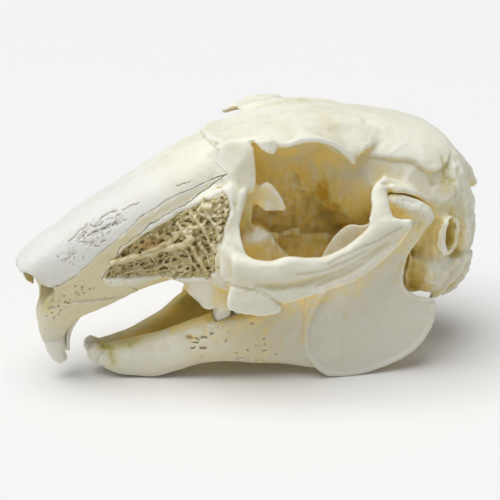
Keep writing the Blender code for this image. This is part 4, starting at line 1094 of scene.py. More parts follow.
# %% Lines and outlines on the cranium
LATTICE_OUTLINE = [
    (-23.9, 18.0), (-22.7, 20.3), (-21.3, 22.3), (-18.3, 24.7), (-15.4, 26.5), (-12.4, 28.2), (-9.5, 30.1),
    (-6.9, 31.5), (-5.8, 30.2), (-6.2, 28.0), (-7.0, 26.0), (-8.0, 23.8), (-8.6, 21.6), (-8.6, 19.6),
    (-9.4, 18.0), (-11.8, 17.4), (-14.5, 17.2), (-18.0, 17.2), (-21.0, 17.3),
]
PARIETAL_SUTURES = [
    [(13.6, 35.6), (15.1, 36.6), (16.8, 37.4)],
    [(18.4, 35.0), (20.7, 35.8), (22.4, 35.9), (24.0, 34.6)],
]
EAR_FISSURE = [(27.2, 33.4), (28.0, 31.6), (28.9, 29.6), (29.4, 27.6)]
DENTS = [
    ((6.7, -2.6, 29.6), 0.7, 0.6), ((11.6, -3.6, 31.5), 0.6, 0.5), ((11.8, -3.0, 23.1), 1.0, 0.9),
    ((14.1, -5.0, 20.6), 1.3, 0.8), ((7.5, -2.4, 19.3), 0.8, 0.5), ((27.4, -9.8, 13.9), 0.7, 0.6),
    ((23.4, -8.0, 17.0), 1.0, 0.5), ((30.6, -9.4, 23.4), 0.9, 0.4), ((25.4, -11.8, 30.4), 0.7, 0.3),
    ((3.2, -2.6, 21.6), 0.8, 0.4),
]
ARCH_SUTURE = [(7.0, 21.2), (9.7, 22.4), (12.0, 23.4), (14.3, 24.1), (16.6, 25.2), (18.1, 25.9)]
ARCH_CREASES = [
    ([(-3.4, 18.3), (0.7, 17.9), (4.5, 18.4), (8.4, 19.5), (12.2, 21.3), (16.1, 23.3)], 1.1),
    ([(2.6, 19.9), (6.2, 20.0), (9.4, 21.2), (12.6, 22.6)], 0.5),
    ([(5.6, 17.6), (9.2, 18.9), (12.4, 20.6), (14.8, 22.4)], 0.5),
    ([(-7.7, 18.7), (-5.4, 18.1), (-2.8, 17.4), (-0.9, 15.9), (0.4, 14.9)], 0.4),
]
PARIETAL_RIM = [
    (11.6, 35.4), (14.0, 35.1), (16.1, 34.8), (18.8, 34.5), (21.4, 34.2), (22.3, 33.9), (23.3, 33.1),
    (24.2, 32.5), (25.4, 32.2), (26.9, 32.4), (28.4, 33.0), (29.6, 34.2),
]
LATTICE_SINK = 1.0
SHOULDER = 0.75
ARCH_SIDE = 13.4
print("lines on the cranium:", len(PARIETAL_SUTURES) + len(ARCH_CREASES) + 2, "dents:", len(DENTS))

# %% Regions of rough bone
CASE_SIDE = {"x_from": (12, 17), "x_to": (28.6, 29.6)}
SOCKET_WALL = {
    "x_from": (0.0, 4.0), "x_to": (14.5, 17.5), "side_to": (6.5, 9.0),
    "z_from": (16.0, 19.0), "z_to": (30.0, 34.0),
}
TOOTH_BLOCK = {
    "x_from": (-3.4, -2.4), "x_to": (3.0, 5.0), "side_to": (9.8, 10.6),
    "z_from": (17.0, 19.0), "z_to": (26.0, 27.0),
}
BULLA = {"x_from": (19.0, 21.5), "side_from": (4.0, 6.0), "z_to": (24.0, 27.0)}
TEETH_EDGE = {"x_from": (-12.0, -10.5), "x_to": (0.0, 2.0), "z_to": (13.0, 14.8)}
ARCH_SPINE = {"x_to": (-0.5, 0.5), "z_to": (17.4, 18.4)}


def region(points, x_from=None, x_to=None, side_from=None, side_to=None, z_from=None, z_to=None):
    """A box with soft edges: an S up over each pair called from, times an S down over each pair called to.

    Side is the distance from the skull's middle plane.
    """
    x, side, z = points[:, 0], np.abs(points[:, 1]), points[:, 2]
    share = np.ones(len(points))
    for value, start, end in ((x, x_from, x_to), (side, side_from, side_to), (z, z_from, z_to)):
        if start:
            share = share * ramp(value, *start)
        if end:
            share = share * ramp(-value, -end[1], -end[0])
    return share


def side_view(points):
    """X and Z alone, as the skull is seen from its side."""
    return points[:, [0, 2]]


def outward(points, normals):
    """How squarely the surface faces away from the skull's middle plane, from -1 to 1."""
    return normals[:, 1] * np.sign(points[:, 1])


def bone_skin(points):
    """The slight unevenness of the cranium: noise at two sizes."""
    return 0.07 * rough(points, 2.4, 3, 5) + 0.025 * rough(points, 0.7, 2, 15)


# %% Carve the cranium
def lines_on(points, view, facing, on_arch):
    """The skin's fine lines, 0 to 1: raised seams, the ear's fissure, the arch's suture and its creases."""
    outer = ramp(facing, 0.1, 0.3)
    paths = [wandered(line, 0.25, 0.35, 50 + number) for number, line in enumerate(PARIETAL_SUTURES)]
    seam = np.maximum.reduce([groove(line_distance(view, path), 0.22) for path in paths])
    seam = seam * outer * (np.abs(points[:, 1]) > 3.5)
    fissure = groove(line_distance(view, wandered(EAR_FISSURE, 0.4, 0.5, 52)), 0.5) * outer
    suture = groove(line_distance(view, ARCH_SUTURE), 0.26) * on_arch * outer
    creases = np.maximum.reduce([groove(line_distance(view, line), width) for line, width in ARCH_CREASES])
    return seam, fissure, suture, creases * on_arch * ramp(facing, 0.0, 0.4)


def sunk_places(points, facing):
    """Millimetres sunk at the dents, by bell curves, and below the parietal's edge, fading downwards."""
    left = np.column_stack([points[:, 0], -np.abs(points[:, 1]), points[:, 2]])
    sink = np.zeros(len(points))
    for middle, radius, depth in DENTS:
        away = np.linalg.norm(left - middle, axis=1)
        sink = sink + depth * np.exp(-((away / radius) ** 2))
    rim_x, rim_z = np.array(PARIETAL_RIM).T
    below = np.interp(points[:, 0], rim_x, rim_z) - points[:, 2] + 0.1 * noise(points, 0.8, 62)
    step = ramp(below, 0.0, 0.4) * (1 - ramp(below, 2.0, 5.5)) * region(points, **CASE_SIDE)
    return sink + SHOULDER * step * ramp(facing, 0.2, 0.6) * (np.abs(points[:, 1]) < 13.2)


def lumps_on(points, facing, behind):
    """Millimetres of rough bone behind the ear, in the eye socket, over the tooth roots and on the bulla."""
    wall = region(points, **SOCKET_WALL) * ramp(facing, 0.0, 0.4)
    uneven = rough(points, 1.6, 3, 87)
    lumps = behind * (0.22 * rough(points, 2.2, 3, 79) + 0.16 * np.abs(rough(points, 1.3, 2, 80)))
    lumps = lumps + wall * (0.3 * uneven + 0.2 * rough(points, (0.8, 0.8, 2.4), 2, 88))
    lumps = lumps + region(points, **TOOTH_BLOCK) * (0.34 * uneven + 0.12)
    ribs = np.abs(rough(points, (1.1, 1.1, 2.6), 2, 89))
    lumps = lumps + region(points, **BULLA) * (0.2 * uneven + 0.24 * ribs)
    crevices = np.maximum(behind, 0.8 * region(points, **BULLA)) * ramp(-uneven, 0.0, 0.7)
    return lumps, 0.6 * crevices * ramp(noise(points, 5.0, 83), -0.3, 0.5)


def carve_cranium(piece):
    """Sinks the lattice's floor, cuts sutures and creases, and roughens the skin."""
    points, normals = points_of(piece), normals_of(piece)
    view, facing = side_view(points), outward(points, normals)
    on_arch = np.abs(points[:, 1]) > ARCH_SIDE
    floor = ramp(depth_inside(view, LATTICE_OUTLINE) + 0.25 * noise(points, 1.2, 3), 0.0, 0.55)
    floor = floor * ramp(facing, 0.05, 0.45) * (np.abs(points[:, 1]) > 3.2) * (points[:, 0] < -4)
    seam, fissure, suture, crease = lines_on(points, view, facing, on_arch)
    middle = groove(np.abs(points[:, 1] + 0.25 * rough(points, 1.0, 2, 9)), 0.28)
    middle = middle * (normals[:, 2] > 0.3) * ramp(points[:, 2], 30, 32)
    pits = region(points, **ARCH_SPINE) * on_arch
    pits = pits * ramp(cells(points, 0.55, 81)[0], 0.32, 0.16) * ramp(noise(points, 1.5, 82), -0.3, 0.3)
    crack = 0.4 * np.maximum(suture, pits)
    behind = ramp(points[:, 0] + 0.25 * points[:, 2] + rough(points, 3.0, 2, 78), 30.0, 33.5) * (1 - floor)
    behind = behind * (1 - ramp(points[:, 2], 31, 35))
    lumps, crevices = lumps_on(points, facing, behind)
    pores = np.clip(0.34 - cells(points, 0.85, 71)[0], 0, 1) * ramp(noise(points, 4.0, 77), 0.1, 0.5)
    skin = bone_skin(points) + 0.04 * noise(points, (3.0, 0.5, 0.5), 41) * on_arch
    moved = points - normals * (
        LATTICE_SINK * floor + sunk_places(points, facing) + 0.16 * crack + 0.28 * crease + 0.04 * middle
        - 0.1 * seam + 0.3 * fissure + skin + 0.35 * pores * (1 - floor) + lumps + 0.14 * pits
    )[:, None]
    moved[:, 2] += 0.45 * region(points, **TEETH_EDGE) * rough(points * (1.0, 0.3, 0.3), 0.9, 2, 86)
    move_points(piece, moved)
    floor = 0.5 * floor * ramp(depth_inside(view, LATTICE_OUTLINE), 0.4, 1.4)
    floor = np.maximum.reduce([floor, 0.7 * fissure, crevices])
    return {"floor": floor, "crack": np.maximum(crack, 0.12 * middle), "seam": seam}


smooth_skin = BVHTree.FromObject(cranium, bpy.context.evaluated_depsgraph_get())
cranium_marks = carve_cranium(cranium)
print("cranium carved:", len(cranium.data.vertices), "points")

# %% [markdown]
# ## The lattice of the snout
# The side of a rabbit's snout is a net of fine struts with open holes, which makes the skull light. Holes
# cut into a plate would leave flat struts. Here the net is a honeycomb whose corners are pushed about. Each
# side of a cell is a little tube, thick at its ends, and finer nets lie deeper. All lie on the snout's own
# surface, whose place is found by rays shot from the side.

# %% Read the snout's side as heights
def read_side(tree, x_range, z_range, step):
    """The y of the left surface over an even grid of x and z, found by one ray for each grid place."""
    xs, zs = np.arange(*x_range, step), np.arange(*z_range, step)
    heights = np.full((len(xs), len(zs)), np.nan)
    for i, x in enumerate(xs):
        for j, z in enumerate(zs):
            start = (np.array([x, -26.0, z]) - ORIGIN) * MM
            hit = tree.ray_cast(Vector(start), Vector((0.0, 1.0, 0.0)))[0]
            if hit is not None:
                heights[i, j] = hit.y / MM
    heights = np.where(np.isnan(heights) | (heights > -2), -6.5, heights)
    for _ in range(2):
        padded = np.pad(heights, 1, mode="edge")
        beside = padded[:-2, 1:-1] + padded[2:, 1:-1] + padded[1:-1, :-2] + padded[1:-1, 2:]
        heights = (beside + 2 * heights) / 6
    return xs, zs, heights


def height_at(side, x, z):
    """The grid's y at any x and z, blended from the four grid places round it."""
    xs, zs, heights = side
    u = np.clip((x - xs[0]) / (xs[1] - xs[0]), 0, len(xs) - 1.001)
    v = np.clip((z - zs[0]) / (zs[1] - zs[0]), 0, len(zs) - 1.001)
    i, j = u.astype(int), v.astype(int)
    f, g = u - i, v - j
    near = heights[i, j] * (1 - g) + heights[i, j + 1] * g
    far = heights[i + 1, j] * (1 - g) + heights[i + 1, j + 1] * g
    return near * (1 - f) + far * f


snout_side = read_side(smooth_skin, (-27.0, -3.0), (12.0, 36.0), 0.4)
print("snout's side read at", snout_side[2].size, "places")

# %% Sides of the net as tubes
def honeycomb(bond, stretch, turn, middle, reach, jitter, seed):
    """Ends of the sides of a stretched, turned honeycomb with shaken corners, as an array (sides, 2, 2)."""
    i, j = np.meshgrid(np.arange(-reach, reach), np.arange(-reach, reach), indexing="ij")
    start = np.stack([math.sqrt(3) * (i + j / 2), 1.5 * j + 0.0 * i], -1)
    end = start + (0.0, 1.0)
    shake = np.stack([i, j, 0 * i], -1)
    start = start + jitter * (2 * np.stack([scatter(shake, seed + k) for k in range(2)], -1) - 1)
    end = end + jitter * (2 * np.stack([scatter(shake, seed + 2 + k) for k in range(2)], -1) - 1)
    inner = (slice(1, -1), slice(1, -1))
    pairs = [(start[inner], end[inner]), (start[inner], end[1:-1, :-2]), (start[inner], end[2:, :-2])]
    sides = np.concatenate([np.stack(p, -2).reshape(-1, 2, 2) for p in pairs])
    sides = sides * bond * np.array([stretch, 1.0])
    c, s = math.cos(math.radians(turn)), math.sin(math.radians(turn))
    return sides @ np.array([[c, s], [-s, c]]) + middle


def struts(sides, depth, thin, thick, flat, seed):
    """A tube for each side: six rings of eight points along a bowed path on the snout's surface.

    The path lies a depth below the surface. A tube's half-width goes from thick at its ends to thin between
    them by the square of the distance from the middle, and it is deeper than it is wide by the factor flat.
    """
    count = len(sides)
    u = np.linspace(0, 1, 6)[None, :, None]
    random = np.random.default_rng(seed)
    path = sides[:, :1] * (1 - u) + sides[:, 1:] * u
    along = sides[:, 1] - sides[:, 0]
    bow = random.uniform(-0.14, 0.14, (count, 1, 1)) * np.stack([-along[:, 1], along[:, 0]], -1)[:, None]
    path = path + 4 * u * (1 - u) * bow
    below = depth * random.uniform(0.55, 1.45, (count, 1))
    y = height_at(snout_side, path[..., 0], path[..., 1]) + below + 0.35 * 4 * (u * (1 - u))[..., 0] * depth
    line = np.stack([path[..., 0], y, path[..., 1]], -1)
    ahead = unit(np.gradient(line, axis=1))
    side = unit(np.cross(ahead, (0.0, 1.0, 0.0)))
    across = np.cross(ahead, side)
    radius = random.uniform(0.75, 1.3, (count, 1, 1)) * (thin + (thick - thin) * (2 * u - 1) ** 2)
    a, b = oval(2.0, 8)
    return (
        line[:, :, None]
        + (radius * a)[..., None] * side[:, :, None]
        + (flat * radius * b)[..., None] * across[:, :, None]
    )


def within(sides, outline, margin):
    """The sides whose middle lies inside an outline, or up to a margin outside it."""
    return sides[depth_inside(sides.mean(1), outline) > -margin]


# %% Grow the net
NET_CUBE = 0.11
NET_REACH = 36
WORN_TURN = np.array([[0.79, 0.0, -0.62], [0.0, 1.0, 0.0], [0.62, 0.0, 0.79]])
PLAIN_PART = [
    (-22.6, 20.9), (-20.6, 22.5), (-17.6, 24.7), (-14.6, 26.5), (-13.4, 26.2), (-13.8, 24.0), (-15.6, 22.7),
    (-18.4, 21.9),
]
# Side length, stretch, turn, middle, depth, jitter, thin, thick, flatness, and the share that is left out.
NET_LAYERS = [
    (0.55, 3.4, 33, (-16.0, 21.0), 0.24, 0.36, 0.07, 0.16, 1.3, 0.45),
    (0.42, 2.3, 31, (-14.0, 23.0), 0.48, 0.38, 0.08, 0.18, 1.2, 0.25),
    (0.46, 1.5, 38, (-15.0, 22.0), 0.84, 0.34, 0.25, 0.36, 1.0, 0.04),
]
# Each long strut's line and its half-width.
MAIN_STRUTS = [
    ([(-23.2, 20.4), (-20.6, 20.9), (-17.3, 21.4), (-15.1, 22.1), (-12.6, 23.2), (-11.2, 24.6)], 0.44),
    ([(-18.4, 21.6), (-16.4, 22.3), (-14.6, 23.2), (-13.2, 24.6), (-12.6, 25.8)], 0.34),
    ([(-13.4, 26.4), (-12.2, 24.6), (-11.0, 22.0), (-9.4, 18.9)], 0.33),
    ([(-12.6, 22.8), (-11.8, 20.8), (-10.6, 19.2)], 0.26),
    ([(-13.9, 24.2), (-12.9, 25.2), (-11.3, 25.4)], 0.26),
    ([(-11.0, 27.4), (-9.8, 26.0), (-9.4, 24.2), (-8.6, 22.6)], 0.3),
    ([(-9.6, 28.6), (-8.8, 27.2), (-7.6, 26.0)], 0.28), ([(-10.6, 23.8), (-9.6, 22.2), (-9.3, 20.6)], 0.24),
    ([(-9.9, 28.9), (-9.2, 29.4), (-8.6, 29.2)], 0.42),
    ([(-12.2, 24.6), (-11.6, 26.0), (-9.6, 26.6)], 0.24),
    ([(-21.8, 18.4), (-18.2, 19.0), (-14.8, 19.6)], 0.17),
    ([(-9.4, 30.2), (-10.4, 28.4), (-8.2, 26.6), (-8.0, 24.4)], 0.24),
    ([(-17.3, 21.4), (-16.2, 19.6)], 0.17), ([(-11.9, 25.4), (-14.2, 24.6)], 0.2),
]


def main_strut(line, half):
    """A long strut: a round profile carried along a wandering line just below the snout's surface."""
    read = wandered(line, 0.5, 0.22, int(abs(line[0][0]) * 10))
    y = height_at(snout_side, read[:, 0], read[:, 1]) + 0.05
    swell = 1.1 * half * (1 + 0.5 * noise(np.column_stack([read, y]), 1.3, 8))
    return loft_path(np.column_stack([read[:, 0], y, read[:, 1], swell, 0.9 * swell]), points=12, steps=2)


def grow_lattice(name, turn_side, seed):
    """The net of one side: long cells outside, small ones below, a spongy floor, and the long struts."""
    tubes = []
    for number, layer in enumerate(NET_LAYERS):
        bond, stretch, turn, middle, depth, jitter, thin, thick, flat, left_out = layer
        sides = honeycomb(bond, stretch, turn, middle, NET_REACH, jitter, seed + 40 * number)
        sides = within(sides, LATTICE_OUTLINE, 0.15)
        plain = ramp(depth_inside(sides.mean(1), PLAIN_PART), -0.6, 0.4) * (number < 2)
        chance = np.random.default_rng(seed + number).uniform(0, 1, len(sides))
        keep = chance > left_out + (0.97 - left_out) * plain
        tubes.extend(struts(sides[keep], depth, thin, thick, flat, seed + number))
    tubes.extend(main_strut(line, half) for line, half in MAIN_STRUTS)
    if turn_side:
        tubes = [mirrored(t) for t in tubes]
    piece = fused(name, tubes, NET_CUBE, rounds=1)
    points, normals = points_of(piece), normals_of(piece)
    fibres = rough(points @ WORN_TURN, (1.8, 0.3, 0.3), 2, 44)
    move_points(piece, points + normals * (0.08 * fibres)[:, None])
    return piece


lattices = [grow_lattice("lattice_left", False, 5), grow_lattice("lattice_right", True, 6)]
print("lattices:", [triangles_in(piece) for piece in lattices])

# %% [markdown]
# ## The nasal bones and the front bones
# The nasal bones are smooth and cool in colour, with short cracks and pits near the front where the bone
# has weathered. The front bones are porous beside the nose opening. Both get pits as short lines and
# scattered cells.

# %% Weather the nasal bones
# Each short crack's line and its half-width.
NASAL_STROKES = [
    ([(-26.7, 25.3), (-26.2, 25.1)], 0.11), ([(-26.1, 24.6), (-25.7, 24.8)], 0.10),
    ([(-25.2, 25.1), (-24.6, 25.3)], 0.12), ([(-24.2, 25.6), (-23.4, 25.8), (-22.8, 26.3)], 0.12),
    ([(-22.4, 26.3), (-21.7, 26.4)], 0.09), ([(-25.2, 23.3), (-24.6, 23.2)], 0.10),
    ([(-24.3, 23.7), (-23.6, 24.0)], 0.09),
    ([(-28.8, 23.7), (-27.6, 24.6), (-26.9, 25.4), (-26.0, 26.1)], 0.08),
    ([(-24.6, 26.5), (-23.6, 27.3), (-22.6, 27.8), (-21.6, 28.0)], 0.08),
    ([(-23.2, 29.2), (-21.8, 29.8), (-20.0, 30.6)], 0.06), ([(-27.4, 24.2), (-26.4, 24.6)], 0.07),
    ([(-25.6, 26.0), (-24.6, 26.0), (-23.8, 26.5)], 0.08),
    ([(-21.0, 28.0), (-19.6, 28.8), (-18.4, 29.3)], 0.05), ([(-13.0, 31.6), (-11.0, 32.2)], 0.05),
]
NASAL_WORN = [
    [
        (-28.0, 24.0), (-25.6, 26.8), (-22.0, 28.0), (-20.6, 27.0), (-22.4, 25.0), (-25.4, 22.8),
        (-27.4, 23.2),
    ],
    [(-30.8, 20.6), (-30.4, 22.2), (-28.0, 22.4), (-27.0, 21.4), (-28.4, 20.5)],
]


def weather_nasals(piece):
    """Cuts the seam between the two bones, the short cracks, the furrows and the pits."""
    points, normals = points_of(piece), normals_of(piece)
    view, facing = side_view(points), outward(points, normals)
    outer = ramp(facing + 0.9 * np.clip(normals[:, 2], 0, 1), 0.15, 0.5)
    swayed = view + 0.12 * np.column_stack([rough(points, 0.7, 2, seed) for seed in (4, 5)])
    strokes = [groove(line_distance(swayed, line), 1.3 * width) for line, width in NASAL_STROKES]
    pits = np.maximum.reduce(strokes)
    inside = np.maximum.reduce([depth_inside(view, outline) for outline in NASAL_WORN])
    worn = ramp(inside + 0.5 * noise(points, 0.9, 36), -0.3, 0.5)
    grain = rough(points @ WORN_TURN, (0.9, 0.35, 0.35), 2, 37)
    furrows = worn * ramp(grain, 0.05, 0.5) * outer
    pits = np.maximum(pits, 0.8 * worn * ramp(cells(points, 0.5, 38)[0], 0.3, 0.16)) * outer
    pits = pits * (np.abs(points[:, 1]) > 1.5)
    seam = groove(np.abs(points[:, 1] + 0.12 * rough(points, 1.4, 2, 9)), 0.2) * (normals[:, 2] > 0.2)
    front = ramp(-points[:, 0], 20, 27)
    patches = ramp(noise(points, 2.2, 35), 0.1, 0.5)
    porous = ramp(cells(points, 0.55, 33)[0], 0.36, 0.2) * patches * front * outer
    skin = 0.05 * rough(points, 3.0, 3, 6) + 0.02 * rough(points, (1.6, 0.4, 0.4), 2, 16)
    rear = ramp(points[:, 0], -16.0, -10.0)
    skin = (1 - rear) * skin + rear * bone_skin(points) + 0.03 * ramp(points[:, 0], -8.6, -7.0)
    move = 0.26 * pits + 0.08 * seam + 0.1 * porous + 0.16 * furrows + skin
    move_points(piece, points - normals * move[:, None])
    return {"crack": np.maximum(0.42 * pits + 0.1 * furrows, 0.2 * seam), "floor": 0.1 * porous}


nasal_marks = weather_nasals(soften(nasals, 1))
print("nasal bones weathered:", len(nasals.data.vertices), "points")

# %% Pierce the front bones with pores
PORE_AREA = [
    (-33.0, 11.4), (-32.6, 13.6), (-31.2, 15.6), (-29.2, 16.8), (-26.6, 17.8), (-25.0, 16.6), (-27.4, 14.8),
    (-30.0, 13.2), (-31.8, 11.4),
]


def weather_front(piece):
    """Round pores beside the nose opening, thinning out behind it, and fine grain along the bone."""
    points, normals = points_of(piece), normals_of(piece)
    view, facing = side_view(points), outward(points, normals)
    depth = depth_inside(view, PORE_AREA) + 0.5 * noise(points, 1.5, 12)
    area = ramp(depth, -0.4, 0.4) * ramp(facing, 0.2, 0.5)
    pores = ramp(cells(points @ WORN_TURN * (0.6, 1.0, 1.0), 0.5, 21)[0], 0.34, 0.16) * area
    few = ramp(cells(points, 1.1, 22)[0], 0.22, 0.1) * ramp(facing, 0.3, 0.6)
    few = few * ramp(noise(points, 3.0, 25), -0.2, 0.4)
    skin = 0.05 * rough(points, 2.2, 3, 7) + 0.02 * rough(points, (1.2, 0.4, 0.4), 2, 17)
    fibres = rough(points @ WORN_TURN, (1.6, 0.3, 0.3), 2, 28) * ramp(facing, 0.2, 0.6)
    move = 0.28 * pores + 0.1 * few + 0.04 * fibres + skin
    move_points(piece, points - normals * move[:, None])
    return {"crack": 0.45 * pores + 0.2 * few, "floor": 0.15 * pores}


front_marks = weather_front(soften(front_bones, 1))
print("front bones weathered:", len(front_bones.data.vertices), "points")

# %% [markdown]
# ## The two jaw halves
# Each half is fused like the cranium, cut flat where it meets its twin at the chin and where it stands on
# the table, and opened for its teeth. The right half is the left one mirrored. Nerves leave the bone
# through short slots in front of the cheek teeth, which are lines pressed in as on the nasal bones.

# %% Fuse and carve the jaws
JAW_CUBE = 0.19
LOWER_SOCKET_TOP = 15.4
SIEVE_AREA = {"x_from": (-14, -10), "x_to": (-3, 4)}
HEAD_AREA = {"x_from": (14.5, 16.5), "z_from": (23.5, 25.5)}
# Each slot's line and its half-width.
JAW_PITS = [
    ([(-11.8, 7.0), (-11.3, 7.2)], 0.27), ([(-10.9, 7.3), (-10.4, 7.15)], 0.13),
    ([(-9.8, 7.4), (-9.3, 7.5)], 0.22), ([(-11.6, 5.5), (-11.1, 5.7)], 0.14),
    ([(-10.2, 5.7), (-9.5, 5.85)], 0.2), ([(-11.0, 6.5), (-10.6, 6.6)], 0.08),
    ([(-7.4, 5.9), (-7.2, 5.9)], 0.08), ([(-6.6, 7.2), (-6.3, 7.3)], 0.09),
    ([(-8.6, 8.2), (-8.2, 8.3)], 0.08), ([(-4.6, 3.9), (-4.0, 3.8)], 0.1),
    ([(-2.0, 3.5), (-1.2, 3.4)], 0.1), ([(-0.8, 5.2), (-0.6, 5.2)], 0.17),
    ([(-6.1, 8.6), (-6.0, 8.6)], 0.13), ([(-0.8, 7.2), (-0.7, 7.2)], 0.14),
    ([(-3.2, 5.5), (-3.1, 5.5)], 0.11), ([(-2.4, 9.6), (-2.3, 9.6)], 0.12),
    ([(-8.0, 6.6), (-7.9, 6.6)], 0.1), ([(-5.0, 5.0), (-4.8, 5.0)], 0.1), ([(1.0, 4.4), (1.2, 4.35)], 0.11),
]


def box_tool(name, low, high):
    """A plain closed box between two corners."""
    outline = [(low[0], low[2]), (high[0], low[2]), (high[0], high[2]), (low[0], high[2])]
    return block_of(name, outline, low[1], high[1])


def build_jaw(side):
    """One jaw half, with its marks for the material."""
    turn = mirrored if side == "right" else np.array
    way = -1 if side == "right" else 1
    piece = fused(f"jaw_{side}", [turn(form) for form in jaw_forms()], JAW_CUBE)
    inner = sorted((-FIT / 2 * way, 20.0 * way))
    combine(piece, box_tool("seam", (-40.0, inner[0], -20.0), (40.0, inner[1], 60.0)))
    combine(piece, box_tool("ground", (-41.0, -21.0, -21.0), (41.0, 21.0, 0.0)))
    combine(piece, add_shells("incisor_socket", [turn(loft_path(grown(LOWER_INCISOR, FIT)))]))
    straight = sockets_for(LOWER_TEETH, LOWER_ROW_Y, LOWER_ROOT - FIT, LOWER_SOCKET_TOP)
    sockets = [turn(form) for form in straight]
    combine(piece, add_shells("cheek_sockets", sockets))
    return piece, carve_jaw(piece)


def carve_jaw(piece):
    """Presses in the slots and a sieve of pores, and roughens the head and the skin, not the flat foot."""
    points, normals = points_of(piece), normals_of(piece)
    facing = outward(points, normals)
    swayed = side_view(points) + 0.16 * np.column_stack([rough(points, 0.8, 2, seed) for seed in (94, 95)])
    pits = np.maximum.reduce([groove(line_distance(swayed, line), 1.4 * width) for line, width in JAW_PITS])
    pits = pits * ramp(facing, 0.1, 0.4)
    sieve = ramp(cells(points, 0.62, 27)[0], 0.34, 0.2) * ramp(noise(points, 1.6, 29), 0.15, 0.5)
    sieve = sieve * ramp(facing, 0.2, 0.6) * region(points, **SIEVE_AREA)
    skin = 0.05 * rough(points, 2.6, 3, 8) + 0.02 * rough(points, (1.4, 0.5, 0.5), 2, 18)
    head = region(points, **HEAD_AREA) * ramp(facing, 0.2, 0.8)
    head = head * (0.3 * np.abs(rough(points, 1.8, 2, 84)) + 0.12 * rough(points, 0.9, 2, 85))
    move = (0.5 * pits + 0.2 * sieve + skin + head) * ramp(points[:, 2], 0.0, 0.4)
    move_points(piece, points - normals * move[:, None])
    return {"crack": np.maximum(0.6 * pits, 0.3 * sieve)}


jaws = [build_jaw(side) for side in ("left", "right")]
print("jaws:", [triangles_in(piece) for piece, _ in jaws])

# %% [markdown]
# ## Front teeth and cheek teeth
# A front tooth is a round profile carried along its curve, flattened to a chisel at the tip, where it is
# ragged. A cheek tooth is a column whose outline is pinched in at its middle, as the enamel folds in there,
# and whose top is worn to a slope with raised enamel edges.

# %% Make the teeth
def front_tooth(name, rows, turn):
    """Rings along the tooth's curve, moved by noise that grows with the twelfth power of the way down."""
    rings = loft_path(rows, power=2.3, points=48, steps=14)
    ragged = 0.02 + 0.16 * np.linspace(0, 1, len(rings))[:, None, None] ** 12
    rings = rings + ragged * rough(rings.reshape(-1, 3), 0.8, 2, 61).reshape(*rings.shape[:2], 1)
    return add_shells(name, [turn(rings)])


# Share of the height, size, how much of the wear slope, and drop of each ring.
CHEEK_TOOTH_RINGS = [
    (0.0, 1.0, 0, 0.0), (0.3, 1.0, 0, 0.0), (0.7, 1.0, 0, 0.0), (0.93, 0.98, 1, 0.0), (0.985, 0.93, 1, 0.0),
    (1.0, 0.86, 1, 0.0), (1.0, 0.74, 1, -0.12), (1.0, 0.4, 1, -0.16), (1.0, 0.05, 1, -0.14),
]


def cheek_tooth(name, place, y, root, crown, turn):
    """A column: its outline is a rounded box pinched at the sides, and its top rings step in and down."""
    x, length, width = place
    angle = np.linspace(0, 2 * math.pi, 48, endpoint=False)
    a, b = oval(3.2, 48)
    pinch = 1 - 0.16 * np.exp(-((np.abs(a) - 1.0) ** 2) / 0.02) - 0.1 * np.exp(-(a**2) / 0.02)
    rings = []
    for share, size, slope, drop in CHEEK_TOOTH_RINGS:
        drop = drop if crown > root else -drop
        z = root + share * (crown - root) + slope * WEAR_SLOPE * a + drop + 0.03 * np.cos(5 * angle) * slope
        rings.append(np.column_stack([x + size * length / 2 * b * pinch, y + size * width / 2 * a, z]))
    return add_shells(name, [turn(np.stack(rings))])


teeth = []
for side, turn in (("left", np.array), ("right", mirrored)):
    for name, rows in (
        ("upper_incisor", UPPER_INCISOR), ("peg_incisor", PEG), ("lower_incisor", LOWER_INCISOR),
    ):
        teeth.append((front_tooth(f"{name}_tooth_{side}", rows, turn), f"{name}_{side}"))
    for name, place in UPPER_TEETH.items():
        tooth = cheek_tooth(f"upper_{name}_tooth_{side}", place, UPPER_ROW_Y, UPPER_ROOT, UPPER_CROWN, turn)
        teeth.append((tooth, f"upper_{name}_{side}"))
    for name, place in LOWER_TEETH.items():
        tooth = cheek_tooth(f"lower_{name}_tooth_{side}", place, LOWER_ROW_Y, LOWER_ROOT, LOWER_CROWN, turn)
        teeth.append((tooth, f"lower_{name}_{side}"))
print("teeth:", len(teeth))

# %% [markdown]
# ## Painted shade: how sheltered each point is
# In the eye sockets, behind the arches and inside the nose little light reaches, and there the colour is
# painted khaki to amber as painted shade, along with the fat and dirt that old bone keeps in such places,
# while open places stay pale. To tell the two apart, rays are sent out from a share of the points in
# random ways round their normals. The part of them that soon meet bone again says how sheltered the point
# is, and so how much painted shade it gets.

# %% Send out rays
SHELTER_REACH = 15.0
SHELTER_RAYS = 12
RAY_START = 0.2
SPREAD_ROUNDS = 14


def bones_tree(pieces):
    """A search tree over all the bones at once, made from one mesh of their triangles."""
    points, triangles, start = [], [], 0
    for piece in pieces:
        piece.data.calc_loop_triangles()
        corners = np.empty(len(piece.data.loop_triangles) * 3, np.int32)
        piece.data.loop_triangles.foreach_get("vertices", corners)
        points.append(points_of(piece))
        triangles.append(corners.reshape(-1, 3) + start)
        start += len(points[-1])
    whole = add_mesh("all_bones", np.vstack(points), [np.vstack(triangles)])
    tree = BVHTree.FromObject(whole, bpy.context.evaluated_depsgraph_get())
    bpy.data.objects.remove(whole)
    return tree


